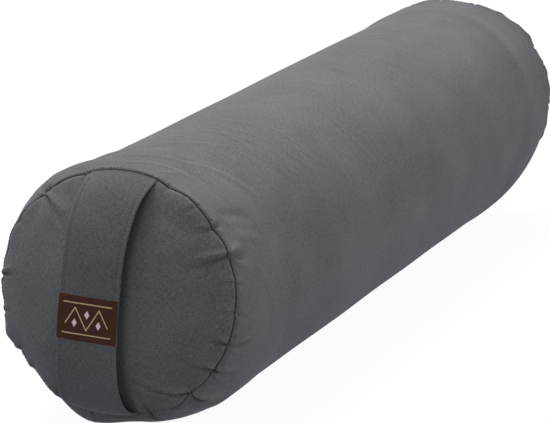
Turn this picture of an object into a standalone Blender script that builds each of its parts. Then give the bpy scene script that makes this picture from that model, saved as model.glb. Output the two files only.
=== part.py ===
# Round yoga bolster: a zipped cotton cover with a carrying strap, over an inner cushion full of hulls.
# The bolster lies along X with its strap at the -X end, and the floor is z = 0. Lengths are metres.
import math
from collections import namedtuple

import bmesh
import bpy
from mathutils import Matrix, Vector

# Tube of the cover
SEAM_TO_SEAM = 0.660
BODY_RADIUS = 0.111
BASE_WIDTH = 0.060            # flat that the weight presses on the floor
COLUMN_STEP = math.radians(12)

# Round end panels, and the stretch over which the tube draws in to their seams
PANEL_WIDTH = 0.208
PANEL_HEIGHT = 0.196
PANEL_CROWN = 0.026
CROWN_POWER = 2.4
COVER_CROWN_SHARES = (0.35, 0.6, 0.8, 0.93)       # rings of each bulge, as shares of the way out to the seam
INNER_CROWN_SHARES = (0.5, 0.85)
COVER_ROLL_SHARES = (0.12, 0.3, 0.65, 1.0)        # rings of each roll, as shares of the way in to the straight tube
INNER_ROLL_SHARES = (0.65, 1.0)
ROLL_LENGTH = 0.026
ROLL_SAG = 0.056              # how much longer the roll is underneath, where the end lifts off the floor
ROLL_START = math.radians(30)
PANEL_EDGE_RADIUS = 0.0012
PANEL_EDGE_TURN = math.radians(45)

# Each end sags in its own way: it leans, turns, and sits a little high and to one side
HANDLE_LEAN_ANGLE = math.radians(10.2)
HANDLE_TURN_ANGLE = math.radians(-4.57)
HANDLE_SHIFT = -0.001
HANDLE_RISE = 0.0115
FAR_LEAN_ANGLE = math.radians(4.0)
FAR_TURN_ANGLE = math.radians(-6.84)
FAR_SHIFT = -0.005
FAR_RISE = 0.016

# Shoulder that the filling pushes out behind the strap's seam, on the zip's side of the top
SHOULDER_HEIGHT = 0.006
SHOULDER_ANGLE = math.radians(42)
SHOULDER_SPREAD = math.radians(32)

# Cloth and seams
COVER_CLOTH = 0.0008
INNER_CLOTH = 0.0005
SEAM_ALLOWANCE = 0.008
FOLD_SLIT = 0.0005            # air inside a turned-back seam allowance
FIT_GAP = 0.0003              # between pieces that touch
END_SLACK = 0.0026            # the inner cushion and the filling stop this much short of the seams

# Carrying strap and its label
STRAP_WIDTH = 0.053
STRAP_END_WIDTH = 0.060
STRAP_THICKNESS = 0.0024
STRAP_STANDOFF = 0.040        # how far its middle stands out from the seam
STRAP_ROUND = 3.0             # the powers shape the bow of the strap
STRAP_FALL = 0.625
STRAP_FIT = 6                 # how late its ends take the curve of the seam
STRAP_FLARE = 3
STRAP_EDGE = 0.0007
GRIP_LENGTH = 0.056
GRIP_DROP = 0.008             # the grip's middle lies this far under the panel's middle
STRAP_BREAK = 0.0004          # gap between the strap's three links
LABEL_WIDTH = 0.0520
LABEL_HEIGHT = 0.0355
LABEL_THICKNESS = 0.0006

# Zips: a coil zip in the cover, and a shorter one without a pull in the inner cushion
COVER_ZIP_ANGLE = math.radians(75)
INNER_ZIP_ANGLE = math.radians(115)
COVER_ZIP_LENGTH = 0.500
INNER_ZIP_LENGTH = 0.300
ZIP_SLOT = 0.011
TAPE_WIDTH = 0.012
TAPE_THICKNESS = 0.0005
TAPE_TAIL = 0.012             # tape beyond the stops
TAPE_MARGIN = 0.0015
COIL_WIDTH = 0.0024
COIL_HEIGHT = 0.0020
COIL_PARTING = 0.0014         # gap between the two coils, in which the slider's post runs
COIL_PITCH = 0.0030           # from turn to turn, twice the real coil's
COIL_TURN_GAP = 0.0011
COIL_TURN_LENGTH = 0.0014
POST_THICKNESS = 0.0008
POST_LENGTH = 0.0030
PLATE_THICKNESS = 0.0011
SLIDER_LENGTH = 0.0110
FLANGE_THICKNESS = 0.0009
SLIDER_TAPER = 0.0010
STOP_LENGTH = 0.0030
STOP_ROUND = 0.00025

# Arch on the slider, and the pull that hangs in it
ARCH_WIDTH = 0.0018
ARCH_REACH = 0.0062
ARCH_THICKNESS = 0.0009
ARCH_WINDOW = 0.0019
ARCH_CORNER = 0.0007
PULL_LENGTH = 0.0240
PULL_WIDTH = 0.0070
PULL_EYE_WIDTH = 0.0054
PULL_THICKNESS = 0.0010
PULL_BAR = 0.0011
PULL_WINDOW = 0.0042
PULL_HOLE = 0.0028
PULL_PLAY = 0.0004            # between the pull's window and the arch

# Values that follow from these
AXIS_HEIGHT = math.sqrt(BODY_RADIUS ** 2 - (BASE_WIDTH / 2) ** 2)
FACET_SAG = BODY_RADIUS * (1 - math.cos(COLUMN_STEP / 2))
COIL_OUTER = COIL_PARTING / 2 + COIL_WIDTH
TAPE_OUTER = COIL_PARTING / 2 + TAPE_WIDTH
SLIDER_HALF = COIL_OUTER + FIT_GAP + FLANGE_THICKNESS
ZIP_LAND_HALF = TAPE_OUTER + TAPE_MARGIN

End = namedtuple("End", "side lean turn shift rise shoulder")
Layer = namedtuple("Layer", "inset ring_inset wall edge crown")
Zip = namedtuple("Zip", "prefix angle plane length wall has_pull")

HANDLE_END = End(-1, math.tan(HANDLE_LEAN_ANGLE), math.tan(HANDLE_TURN_ANGLE), HANDLE_SHIFT, HANDLE_RISE,
                 SHOULDER_HEIGHT)
FAR_END = End(1, math.tan(FAR_LEAN_ANGLE), math.tan(FAR_TURN_ANGLE), FAR_SHIFT, FAR_RISE, 0.0)


def make_layers():
    # Cover, inner casing and filling, each seated inside the one before it
    cover = Layer(0.0, 0.0, COVER_CLOTH, COVER_CLOTH + FOLD_SLIT / 2, PANEL_CROWN)
    inset = COVER_CLOTH + FIT_GAP + FACET_SAG
    ring = 2 * cover.edge + FIT_GAP + COVER_CLOTH + FIT_GAP + END_SLACK
    inner = Layer(inset, ring, INNER_CLOTH, INNER_CLOTH / 2, PANEL_CROWN + ring - COVER_CLOTH - FIT_GAP)
    inset += INNER_CLOTH + FIT_GAP + FACET_SAG
    ring += 2 * INNER_CLOTH + 2 * FIT_GAP + END_SLACK
    filling = Layer(inset, ring, 0.0, 0.0, PANEL_CROWN + ring - COVER_CLOTH - INNER_CLOTH - 3 * FIT_GAP)
    return cover, inner, filling


COVER, INNER, FILLING = make_layers()


def zip_levels(wall):
    # Heights over the cloth's outer face: tape, coil and the slider's two plates
    tape_top = -wall - FIT_GAP
    coil_top = -wall + COIL_HEIGHT
    top_plate = coil_top + FIT_GAP
    bottom_plate = tape_top - TAPE_THICKNESS - FIT_GAP
    return tape_top, coil_top, top_plate, bottom_plate


def make_zips():
    cover_plane = math.sqrt((BODY_RADIUS - FACET_SAG) ** 2 - ZIP_LAND_HALF ** 2)
    top_plate = zip_levels(INNER_CLOTH)[2]
    inner_plane = BODY_RADIUS - COVER_CLOTH - FACET_SAG - FIT_GAP - top_plate - PLATE_THICKNESS
    cover_zip = Zip("zip", COVER_ZIP_ANGLE, cover_plane, COVER_ZIP_LENGTH, COVER_CLOTH, True)
    inner_zip = Zip("inner_zip", INNER_ZIP_ANGLE, inner_plane, INNER_ZIP_LENGTH, INNER_CLOTH, False)
    return cover_zip, inner_zip


COVER_ZIP, INNER_ZIP = make_zips()


def clear_scene():
    for item in list(bpy.data.objects):
        bpy.data.objects.remove(item, do_unlink=True)


def make_collection(name):
    collection = bpy.data.collections.new(name)
    bpy.context.scene.collection.children.link(collection)
    return collection


def srgb_to_linear(value):
    return value / 12.92 if value <= 0.04045 else ((value + 0.055) / 1.055) ** 2.4


def make_material(name, red, green, blue, roughness, metallic=0.0):
    material = bpy.data.materials.new(name)
    material.use_nodes = True
    shader = material.node_tree.nodes["Principled BSDF"]
    colour = [srgb_to_linear(channel / 255) for channel in (red, green, blue)]
    shader.inputs["Base Color"].default_value = (*colour, 1.0)
    shader.inputs["Roughness"].default_value = roughness
    shader.inputs["Metallic"].default_value = metallic
    material.diffuse_color = (*colour, 1.0)
    return material


def add_object(name, mesh, material, collection):
    item = bpy.data.objects.new(name, mesh)
    mesh.materials.clear()
    mesh.materials.append(material)
    mesh.shade_smooth()
    mesh.set_sharp_from_angle(angle=math.radians(35))
    collection.objects.link(item)
    return item


def add_solidify(item, thickness, offset):
    solidify = item.modifiers.new("cloth", "SOLIDIFY")
    solidify.thickness = thickness
    solidify.offset = offset
    solidify.use_even_offset = True


def add_bevel(item, width, segments=1, angle=math.radians(50)):
    bevel = item.modifiers.new("edge", "BEVEL")
    bevel.width = width
    bevel.segments = segments
    bevel.limit_method = "ANGLE"
    bevel.angle_limit = angle


def add_boolean(item, other, operation):
    boolean = item.modifiers.new(other.name, "BOOLEAN")
    boolean.operation = operation
    boolean.object = other
    other.hide_render = True
    other.display_type = "WIRE"


# Cross-sections of the tube. A section point is (y, z) from the bolster's axis.

def clip_to_flat(points, angle, distance):
    # Cuts a convex outline by a flat that faces the given angle, and drops points that crowd its corners
    facing = Vector((math.sin(angle), math.cos(angle)))
    kept, corners = [], []
    for index, point in enumerate(points):
        following = points[(index + 1) % len(points)]
        here, there = point.dot(facing) - distance, following.dot(facing) - distance
        if here <= 0:
            kept.append(point)
        if (here <= 0) != (there <= 0):
            corner = point.lerp(following, here / (here - there))
            kept.append(corner)
            corners.append(corner)
    crowd = BODY_RADIUS * COLUMN_STEP / 4
    return [point for point in kept
            if point in corners or all((point - corner).length > crowd for corner in corners)]


def body_section(layer):
    radius = BODY_RADIUS - layer.inset
    count = round(2 * math.pi / COLUMN_STEP)
    points = []
    for index in range(count):
        angle = 2 * math.pi * (index + 0.5) / count
        points.append(Vector((radius * math.sin(angle), radius * math.cos(angle))))
    for angle, distance in layer_flats(layer):
        points = clip_to_flat(points, angle, distance)
    return points


def layer_flats(layer):
    # Flats of a layer: the base, and the lands that make room for the zips
    cover_under = zip_levels(COVER_ZIP.wall)[3] - PLATE_THICKNESS - FIT_GAP
    inner_under = zip_levels(INNER_ZIP.wall)[3] - PLATE_THICKNESS - FIT_GAP
    if layer is COVER:
        return [(math.pi, AXIS_HEIGHT), (COVER_ZIP.angle, COVER_ZIP.plane)]
    if layer is INNER:
        base = AXIS_HEIGHT - COVER_CLOTH - FIT_GAP
        return [(math.pi, base), (COVER_ZIP.angle, COVER_ZIP.plane + cover_under),
                (INNER_ZIP.angle, INNER_ZIP.plane)]
    base = AXIS_HEIGHT - COVER_CLOTH - INNER_CLOTH - 2 * FIT_GAP
    return [(math.pi, base),
            (COVER_ZIP.angle, COVER_ZIP.plane + cover_under - INNER_CLOTH - FIT_GAP),
            (INNER_ZIP.angle, INNER_ZIP.plane + inner_under)]


def seam_point(end, layer, angle):
    half_width = PANEL_WIDTH / 2 - layer.ring_inset
    half_height = PANEL_HEIGHT / 2 - layer.ring_inset
    return Vector((end.shift + half_width * math.sin(angle), end.rise + half_height * math.cos(angle)))


def place(end, outward, section_point):
    # A point that lies outward of the seam's leaning plane
    y, z = section_point
    x = end.side * (SEAM_TO_SEAM / 2 + outward) + end.lean * z + end.turn * y
    return Vector((x, y, AXIS_HEIGHT + z))


def roll_length(angle):
    lowness = (1 - math.cos(angle)) / 2
    return ROLL_LENGTH + ROLL_SAG * lowness ** 2


def shoulder(end, angle, depth):
    # Stands out from the roll, highest two thirds of the way along it. The layers inside take the same shape.
    away = math.remainder(angle - SHOULDER_ANGLE, 2 * math.pi) / SHOULDER_SPREAD
    share = depth / roll_length(angle)
    height = end.shoulder * math.exp(-away ** 2) * 27 / 4 * share ** 2 * (1 - share)
    return Vector((math.sin(angle), math.cos(angle))) * height


def roll_point(end, layer, body_point, share):
    # Along the roll from the seam, share 0, to the straight tube, share 1
    angle = math.atan2(body_point.x, body_point.y)
    slope = math.acos(math.cos(ROLL_START) * (1 - share))
    blend = (math.sin(slope) - math.sin(ROLL_START)) / (1 - math.sin(ROLL_START))
    depth = layer.ring_inset + (roll_length(angle) - layer.ring_inset) * share
    point = seam_point(end, layer, angle).lerp(body_point, blend) + shoulder(end, angle, depth)
    return place(end, -depth, point)


def roll_row(end, layer, section, share):
    return [roll_point(end, layer, point, share) for point in section]


def roll_frames(end, layer, section, shares):
    # Point, direction into the tube and outward normal at each column, each at its own share
    small_step = 0.01
    frames = []
    count = len(section)
    for index, share in enumerate(shares):
        here = roll_point(end, layer, section[index], share)
        into = (roll_point(end, layer, section[index], share + small_step) - here).normalized()
        before = roll_point(end, layer, section[index - 1], share)
        after = roll_point(end, layer, section[(index + 1) % count], share)
        normal = into.cross(after - before).normalized() * -end.side
        frames.append((here, into, normal))
    return frames


def allowance_shares(end, layer, section):
    # Share of the roll that the seam allowance covers at each column, from a stretch of about its length
    stretch, longest = 0.3, 0.9
    starts = roll_row(end, layer, section, 0.0)
    stops = roll_row(end, layer, section, stretch)
    lengths = [(stop - start).length for start, stop in zip(starts, stops)]
    return [min(longest, stretch * SEAM_ALLOWANCE / length) for length in lengths]


def hem_rows(end, layer, section):
    # The tube's seam allowance: turned back under the roll, with a round fold at the seam
    frames = roll_frames(end, layer, section, [0.0] * len(section))
    tails = roll_frames(end, layer, section, allowance_shares(end, layer, section))
    rows = [[here - normal * 2 * layer.edge for here, into, normal in tails]]
    for degrees in (180, 135, 90, 45, 0):
        turn = math.radians(degrees)
        row = []
        for here, into, normal in frames:
            centre = here + (into - normal) * layer.edge
            row.append(centre + (normal * math.cos(turn) - into * math.sin(turn)) * layer.edge)
        rows.append(row)
    return rows


def plain_edge_rows(end, layer, section):
    # A cut edge, with a second row over the end of the panel's lip, so that lip and tube stay parallel
    tails = allowance_shares(end, layer, section)
    over_lip = [roll_point(end, layer, point, share) for point, share in zip(section, tails)]
    return [roll_row(end, layer, section, 0.0), over_lip]


def tube_rows(end, layer, section, shares):
    rows = hem_rows(end, layer, section) if layer is COVER else plain_edge_rows(end, layer, section)
    rows += [roll_row(end, layer, section, share) for share in shares]
    return rows


def panel_rows(end, layer, section, crown_shares, edge_steps):
    # From the crown out to the edge, round it, and in under the tube as a lip
    frames = roll_frames(end, layer, section, [0.0] * len(section))
    tails = roll_frames(end, layer, section, allowance_shares(end, layer, section))
    centre = place(end, -layer.ring_inset, Vector((end.shift, end.rise)))
    edge_rows = [[] for step in range(edge_steps + 1)]
    for here, into, normal in frames:
        sunk = normal * (2 * layer.edge + FIT_GAP + PANEL_EDGE_RADIUS)
        middle = here - sunk - into * FIT_GAP
        for step, row in enumerate(edge_rows):
            turn = PANEL_EDGE_TURN * (1 - step / edge_steps)
            row.append(middle + (normal * math.cos(turn) - into * math.sin(turn)) * PANEL_EDGE_RADIUS)
    rows = []
    for share in crown_shares:
        rise = Vector((end.side * layer.crown * (1 - share ** CROWN_POWER), 0, 0))
        rows.append([centre.lerp(rim, share) + rise for rim in edge_rows[0]])
    rows += edge_rows
    rows.append([here - normal * (2 * layer.edge + FIT_GAP) for here, into, normal in tails])
    return centre + Vector((end.side * layer.crown, 0, 0)), rows


def loft(name, rows, material, collection, first_pole=None, last_pole=None):
    # Skins rows of points that run towards +X, each row going round from the top by way of +Y
    mesh = bpy.data.meshes.new(name)
    work = bmesh.new()
    loops = [[work.verts.new(point) for point in row] for row in rows]
    count = len(rows[0])
    for low, high in zip(loops, loops[1:]):
        for index in range(count):
            following = (index + 1) % count
            work.faces.new((low[index], high[index], high[following], low[following]))
    if first_pole:
        pole = work.verts.new(first_pole)
        for index in range(count):
            work.faces.new((pole, loops[0][index], loops[0][(index + 1) % count]))
    if last_pole:
        pole = work.verts.new(last_pole)
        for index in range(count):
            work.faces.new((pole, loops[-1][(index + 1) % count], loops[-1][index]))
    work.to_mesh(mesh)
    work.free()
    return add_object(name, mesh, material, collection)


def make_tube_panel(name, layer, shares, material, collection):
    section = body_section(layer)
    rows = tube_rows(HANDLE_END, layer, section, shares)
    rows += reversed(tube_rows(FAR_END, layer, section, shares))
    tube = loft(name, rows, material, collection)
    add_solidify(tube, layer.wall, -1)
    return tube


def make_end_panel(name, end, layer, crown_shares, edge_steps, material, collection):
    section = body_section(layer)
    pole, rows = panel_rows(end, layer, section, crown_shares, edge_steps)
    if end.side < 0:
        panel = loft(name, rows, material, collection, first_pole=pole)
    else:
        panel = loft(name, rows[::-1], material, collection, last_pole=pole)
    add_solidify(panel, layer.wall, -1)
    return panel


def filling_rows(end, section):
    centre = place(end, -FILLING.ring_inset, Vector((end.shift, end.rise)))
    rim = roll_row(end, FILLING, section, 0.0)
    rows = []
    for share in INNER_CROWN_SHARES:
        rise = Vector((end.side * FILLING.crown * (1 - share ** CROWN_POWER), 0, 0))
        rows.append([centre.lerp(point, share) + rise for point in rim])
    rows += tube_rows(end, FILLING, section, INNER_ROLL_SHARES)
    return centre + Vector((end.side * FILLING.crown, 0, 0)), rows


def make_filling(material, collection):
    section = body_section(FILLING)
    first_pole, rows = filling_rows(HANDLE_END, section)
    last_pole, far_rows = filling_rows(FAR_END, section)
    rows += far_rows[::-1]
    return loft("hull_filling", rows, material, collection, first_pole, last_pole)


# Strap. It leaves the seam at the top, bows out over the end panel and goes into the seam at the bottom.

def strap_point(share, across, lift=0.0):
    # Share runs from -1 at the bottom seam to 1 at the top seam, where the strap's ends follow the round seam
    half_height = PANEL_HEIGHT / 2 - (2 * COVER.edge - STRAP_THICKNESS / 2)
    offset = (across - HANDLE_END.shift) / (PANEL_WIDTH / 2)
    seam_drop = half_height * (1 - math.sqrt(1 - offset ** 2))
    height = share * half_height - math.copysign(share ** STRAP_FIT * seam_drop, share)
    outward = FIT_GAP + STRAP_STANDOFF * (1 - abs(share) ** STRAP_ROUND) ** STRAP_FALL + lift
    return place(HANDLE_END, outward, Vector((across, HANDLE_END.rise + height)))


def strap_shares(low, high, steps):
    # Shares spaced by the strap's turning, so that its tight bends get more rows
    def turning(share):
        return math.copysign(math.asin(abs(share) ** (STRAP_ROUND / 2)), share)

    start, stop = turning(low), turning(high)
    shares = []
    for step in range(steps + 1):
        angle = start + (stop - start) * step / steps
        shares.append(math.copysign(abs(math.sin(angle)) ** (2 / STRAP_ROUND), angle))
    return shares


def make_band(name, shares, width_at, lift, thickness, material, collection):
    mesh = bpy.data.meshes.new(name)
    work = bmesh.new()
    columns = 4
    rows = []
    for share in shares:
        row = []
        for column in range(columns + 1):
            across = (column / columns - 0.5) * width_at(share)
            row.append(work.verts.new(strap_point(share, across, lift)))
        rows.append(row)
    for low, high in zip(rows, rows[1:]):
        for column in range(columns):
            work.faces.new((low[column], high[column], high[column + 1], low[column + 1]))
    work.to_mesh(mesh)
    work.free()
    band = add_object(name, mesh, material, collection)
    add_solidify(band, thickness, 0)
    return band


def strap_width(share):
    return STRAP_WIDTH + (STRAP_END_WIDTH - STRAP_WIDTH) * abs(share) ** STRAP_FLARE


def make_strap(material, label_material, collection):
    half_height = PANEL_HEIGHT / 2
    grip_top = (GRIP_LENGTH / 2 - GRIP_DROP) / half_height
    grip_bottom = -(GRIP_LENGTH / 2 + GRIP_DROP) / half_height
    gap = STRAP_BREAK / half_height
    links = (
        ("strap_upper_run", strap_shares(grip_top + gap, 1.0, 8)),
        ("strap_grip", strap_shares(grip_bottom, grip_top, 6)),
        ("strap_lower_run", strap_shares(-1.0, grip_bottom - gap, 7)),
    )
    pieces = []
    for name, shares in links:
        link = make_band(name, shares, strap_width, 0.0, STRAP_THICKNESS, material, collection)
        add_bevel(link, STRAP_EDGE)
        pieces.append(link)
    label_low = -(GRIP_DROP + LABEL_HEIGHT / 2) / half_height
    label_high = (LABEL_HEIGHT / 2 - GRIP_DROP) / half_height
    label_lift = STRAP_THICKNESS / 2 + FIT_GAP + LABEL_THICKNESS / 2
    label = make_band("woven_label", strap_shares(label_low, label_high, 6), lambda share: LABEL_WIDTH,
                      label_lift, LABEL_THICKNESS, label_material, collection)
    hinges = (strap_hinge(1), strap_point(0.0, 0.0), strap_hinge(-1))
    for piece, origin in zip(pieces + [label], (hinges[0], hinges[1], hinges[2], hinges[1])):
        move_origin(piece, origin)


def strap_hinge(side):
    # Where the strap swings: the seam itself, at the top for side 1 and at the bottom for side -1
    return place(HANDLE_END, 0.0, Vector((0.0, HANDLE_END.rise + side * PANEL_HEIGHT / 2)))


def move_origin(item, origin):
    item.data.transform(Matrix.Translation(-origin))
    item.location = origin


# Zips. They are made in a frame with X along the zip, Y across it and Z out of the cloth's outer face.

def zip_frame(zipper, along=0.0, height=0.0):
    out = Vector((0, math.sin(zipper.angle), math.cos(zipper.angle)))
    across = Vector((0, math.cos(zipper.angle), -math.sin(zipper.angle)))
    origin = Vector((along, 0, AXIS_HEIGHT)) + out * (zipper.plane + height)
    frame = Matrix((Vector((1, 0, 0)), across, out)).transposed().to_4x4()
    return Matrix.Translation(origin) @ frame


def box_mesh(name, low, high):
    mesh = bpy.data.meshes.new(name)
    work = bmesh.new()
    size = [end - start for start, end in zip(low, high)]
    centre = [(start + end) / 2 for start, end in zip(low, high)]
    shape = Matrix.Translation(centre) @ Matrix.Diagonal((*size, 1))
    bmesh.ops.create_cube(work, size=1, matrix=shape)
    work.to_mesh(mesh)
    work.free()
    return mesh


def add_box(name, low, high, frame, material, collection):
    box = add_object(name, box_mesh(name, low, high), material, collection)
    box.matrix_world = frame
    return box


def outline_mesh(name, outlines, low, high):
    # A flat outline with holes, given a thickness from low to high
    curve = bpy.data.curves.new(name, "CURVE")
    curve.dimensions = "2D"
    curve.fill_mode = "BOTH"
    curve.extrude = (high - low) / 2
    for outline in outlines:
        spline = curve.splines.new("POLY")
        spline.points.add(len(outline) - 1)
        for target, (x, y) in zip(spline.points, outline):
            target.co = (x, y, 0, 1)
        spline.use_cyclic_u = True
    item = bpy.data.objects.new(name, curve)
    bpy.context.scene.collection.objects.link(item)
    evaluated = item.evaluated_get(bpy.context.evaluated_depsgraph_get())
    mesh = bpy.data.meshes.new_from_object(evaluated)
    bpy.data.objects.remove(item)
    work = bmesh.new()
    work.from_mesh(mesh)
    bmesh.ops.remove_doubles(work, verts=work.verts, dist=0.00001)
    bmesh.ops.translate(work, verts=work.verts, vec=(0, 0, (low + high) / 2))
    bmesh.ops.recalc_face_normals(work, faces=work.faces)
    work.to_mesh(mesh)
    work.free()
    return mesh


def rounded_outline(left, right, half_left, half_right, radius, steps=3):
    # A four-cornered outline, symmetrical about X, with round corners
    corners = ((right, half_right, 0), (left, half_left, 90),
               (left, -half_left, 180), (right, -half_right, 270))
    points = []
    for x, y, start in corners:
        inward_x = -radius if x == right else radius
        inward_y = -radius if y > 0 else radius
        for step in range(steps + 1):
            angle = math.radians(start + 90 * step / steps)
            points.append((x + inward_x + radius * math.cos(angle), y + inward_y + radius * math.sin(angle)))
    return points


def circle_outline(x, y, radius, count=10):
    angles = [2 * math.pi * step / count for step in range(count)]
    return [(x + radius * math.cos(angle), y + radius * math.sin(angle)) for angle in angles]


def make_tapes(zipper, material, collection):
    tape_top = zip_levels(zipper.wall)[0]
    reach = zipper.length / 2 + TAPE_TAIL
    inner, outer = COIL_PARTING / 2, TAPE_OUTER
    tape_bottom = tape_top - TAPE_THICKNESS
    for name, sign in (("upper", -1), ("lower", 1)):
        near, far = sorted((sign * inner, sign * outer))
        add_box(f"{zipper.prefix}_tape_{name}", (-reach, near, tape_bottom), (reach, far, tape_top),
                zip_frame(zipper), material, collection)


def coil_outline(reach, sign):
    # A coil from above, as a comb: its turns stand out towards the other coil, half a pitch out of step with it
    near = sign * COIL_PARTING / 2
    root = sign * (COIL_PARTING / 2 + COIL_TURN_LENGTH)
    far = sign * COIL_OUTER
    count = int(2 * reach / COIL_PITCH)
    start = -count * COIL_PITCH / 2 + sign * COIL_PITCH / 4
    points = [(-reach, root)]
    for number in range(count):
        left = start + number * COIL_PITCH + COIL_TURN_GAP / 2
        right = left + COIL_PITCH - COIL_TURN_GAP
        points += [(left, root), (left, near), (right, near), (right, root)]
    return points + [(reach, root), (reach, far), (-reach, far)]


def make_coils(zipper, material, collection):
    # The zip that shows has its coils' turns, and the one inside has plain rails
    coil_top = zip_levels(zipper.wall)[1]
    reach = zipper.length / 2 - STOP_LENGTH - FIT_GAP
    for name, sign in (("upper", -1), ("lower", 1)):
        full_name = f"{zipper.prefix}_coil_{name}"
        if zipper.has_pull:
            mesh = outline_mesh(full_name, [coil_outline(reach, sign)], -zipper.wall, coil_top)
            coil = add_object(full_name, mesh, material, collection)
            coil.matrix_world = zip_frame(zipper)
        else:
            near, far = sorted((sign * COIL_PARTING / 2, sign * COIL_OUTER))
            coil = add_box(full_name, (-reach, near, -zipper.wall), (reach, far, coil_top),
                           zip_frame(zipper), material, collection)
            add_bevel(coil, COIL_HEIGHT / 4)


def make_stops(zipper, material, collection):
    # Two top stops at the closed end, one on each tape, and one bottom stop across both
    coil_top = zip_levels(zipper.wall)[1]
    end = zipper.length / 2
    for name, sign in (("upper", -1), ("lower", 1)):
        near, far = sorted((sign * COIL_PARTING / 2, sign * COIL_OUTER))
        stop = add_box(f"{zipper.prefix}_top_stop_{name}", (-end, near, -zipper.wall),
                       (-end + STOP_LENGTH, far, coil_top), zip_frame(zipper), material, collection)
        add_bevel(stop, STOP_ROUND)
    bottom = add_box(f"{zipper.prefix}_bottom_stop", (end - STOP_LENGTH, -COIL_OUTER, -zipper.wall),
                     (end, COIL_OUTER, coil_top), zip_frame(zipper), material, collection)
    add_bevel(bottom, STOP_ROUND)


def slider_rest(zipper):
    # Where the slider's middle stands when the zip is closed
    return -zipper.length / 2 + STOP_LENGTH + FIT_GAP + SLIDER_LENGTH / 2


def make_slider(zipper, material, collection, cutters):
    tape_top, coil_top, top_plate, bottom_plate = zip_levels(zipper.wall)
    frame = zip_frame(zipper, slider_rest(zipper))
    half = SLIDER_LENGTH / 2
    outline = rounded_outline(-half, half, SLIDER_HALF, SLIDER_HALF - SLIDER_TAPER, SLIDER_TAPER)
    name = f"{zipper.prefix}_slider"
    top = outline_mesh(name, [outline], top_plate, top_plate + PLATE_THICKNESS)
    slider = add_object(name, top, material, collection)
    slider.matrix_world = frame
    bottom = outline_mesh("bottom_plate", [outline], bottom_plate - PLATE_THICKNESS, bottom_plate)
    extras = [add_object(f"{name}_bottom_plate", bottom, material, cutters)]
    sunk = PLATE_THICKNESS / 2
    post = box_mesh("post", (-half + SLIDER_TAPER, -POST_THICKNESS / 2, bottom_plate - sunk),
                    (-half + SLIDER_TAPER + POST_LENGTH, POST_THICKNESS / 2, top_plate + sunk))
    extras.append(add_object(f"{name}_post", post, material, cutters))
    for sign in (-1, 1):
        near, far = sorted((sign * (COIL_OUTER + FIT_GAP), sign * (SLIDER_HALF - FIT_GAP / 2)))
        flange = box_mesh("flange", (-half + SLIDER_TAPER, near, tape_top + FIT_GAP),
                          (half - 2 * SLIDER_TAPER, far, top_plate + sunk))
        extras.append(add_object(f"{name}_flange_{sign}", flange, material, cutters))
    if zipper.has_pull:
        extras.append(make_arch(name, top_plate + PLATE_THICKNESS, material, cutters))
    for extra in extras:
        extra.matrix_world = frame
        add_boolean(slider, extra, "UNION")
    return slider


def make_arch(name, plate_top, material, cutters):
    # The arch is a staple along the slider, an outline stood up with its feet in the plate
    reach = ARCH_REACH / 2
    inside = reach - ARCH_THICKNESS
    foot = -PLATE_THICKNESS / 3
    top = ARCH_WINDOW + ARCH_THICKNESS
    outer = [point for point in rounded_outline(-reach, reach, top, top, ARCH_CORNER, 2) if point[1] > 0]
    outline = outer + [(-reach, foot), (-inside, foot), (-inside, ARCH_WINDOW), (inside, ARCH_WINDOW),
                       (inside, foot), (reach, foot)]
    mesh = outline_mesh("arch", [outline], -ARCH_WIDTH / 2, ARCH_WIDTH / 2)
    mesh.transform(Matrix.Translation((0, 0, plate_top)) @ Matrix.Rotation(math.pi / 2, 4, "X"))
    return add_object(f"{name}_arch", mesh, material, cutters)


def pull_axis_height(zipper):
    return zip_levels(zipper.wall)[2] + PLATE_THICKNESS + ARCH_WINDOW / 2


def make_pull(zipper, material, collection):
    # The pull lies flat towards the middle of the zip, its bar inside the slider's arch
    bar = PULL_BAR / 2
    eye = PULL_EYE_WIDTH / 2
    window = ARCH_WIDTH / 2 + PULL_PLAY
    outline = rounded_outline(-bar, PULL_LENGTH, eye, PULL_WIDTH / 2, PULL_BAR, 3)
    opening = rounded_outline(bar, bar + PULL_WINDOW, window, window, PULL_PLAY, 1)
    hole = circle_outline(PULL_LENGTH - PULL_WIDTH / 2, 0.0, PULL_HOLE / 2)
    mesh = outline_mesh("zip_pull", [outline, opening, hole], -PULL_THICKNESS / 2, PULL_THICKNESS / 2)
    pull = add_object("zip_pull", mesh, material, collection)
    pull.matrix_world = zip_frame(zipper, slider_rest(zipper), pull_axis_height(zipper))
    return pull


def cut_zip_slot(panel, zipper, material, cutters):
    depth = 4 * zipper.wall
    half = ZIP_SLOT / 2
    slot = add_box(f"{panel.name}_slot", (-zipper.length / 2 - half, -half, -depth),
                   (zipper.length / 2 + half, half, depth), zip_frame(zipper), material, cutters)
    add_boolean(panel, slot, "DIFFERENCE")


def make_zip(zipper, panel, tape_material, coil_material, metal, collection, cutters):
    cut_zip_slot(panel, zipper, tape_material, cutters)
    make_tapes(zipper, tape_material, collection)
    make_coils(zipper, coil_material, collection)
    make_stops(zipper, metal, collection)
    make_slider(zipper, metal, collection, cutters)
    if zipper.has_pull:
        make_pull(zipper, metal, collection)


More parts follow.
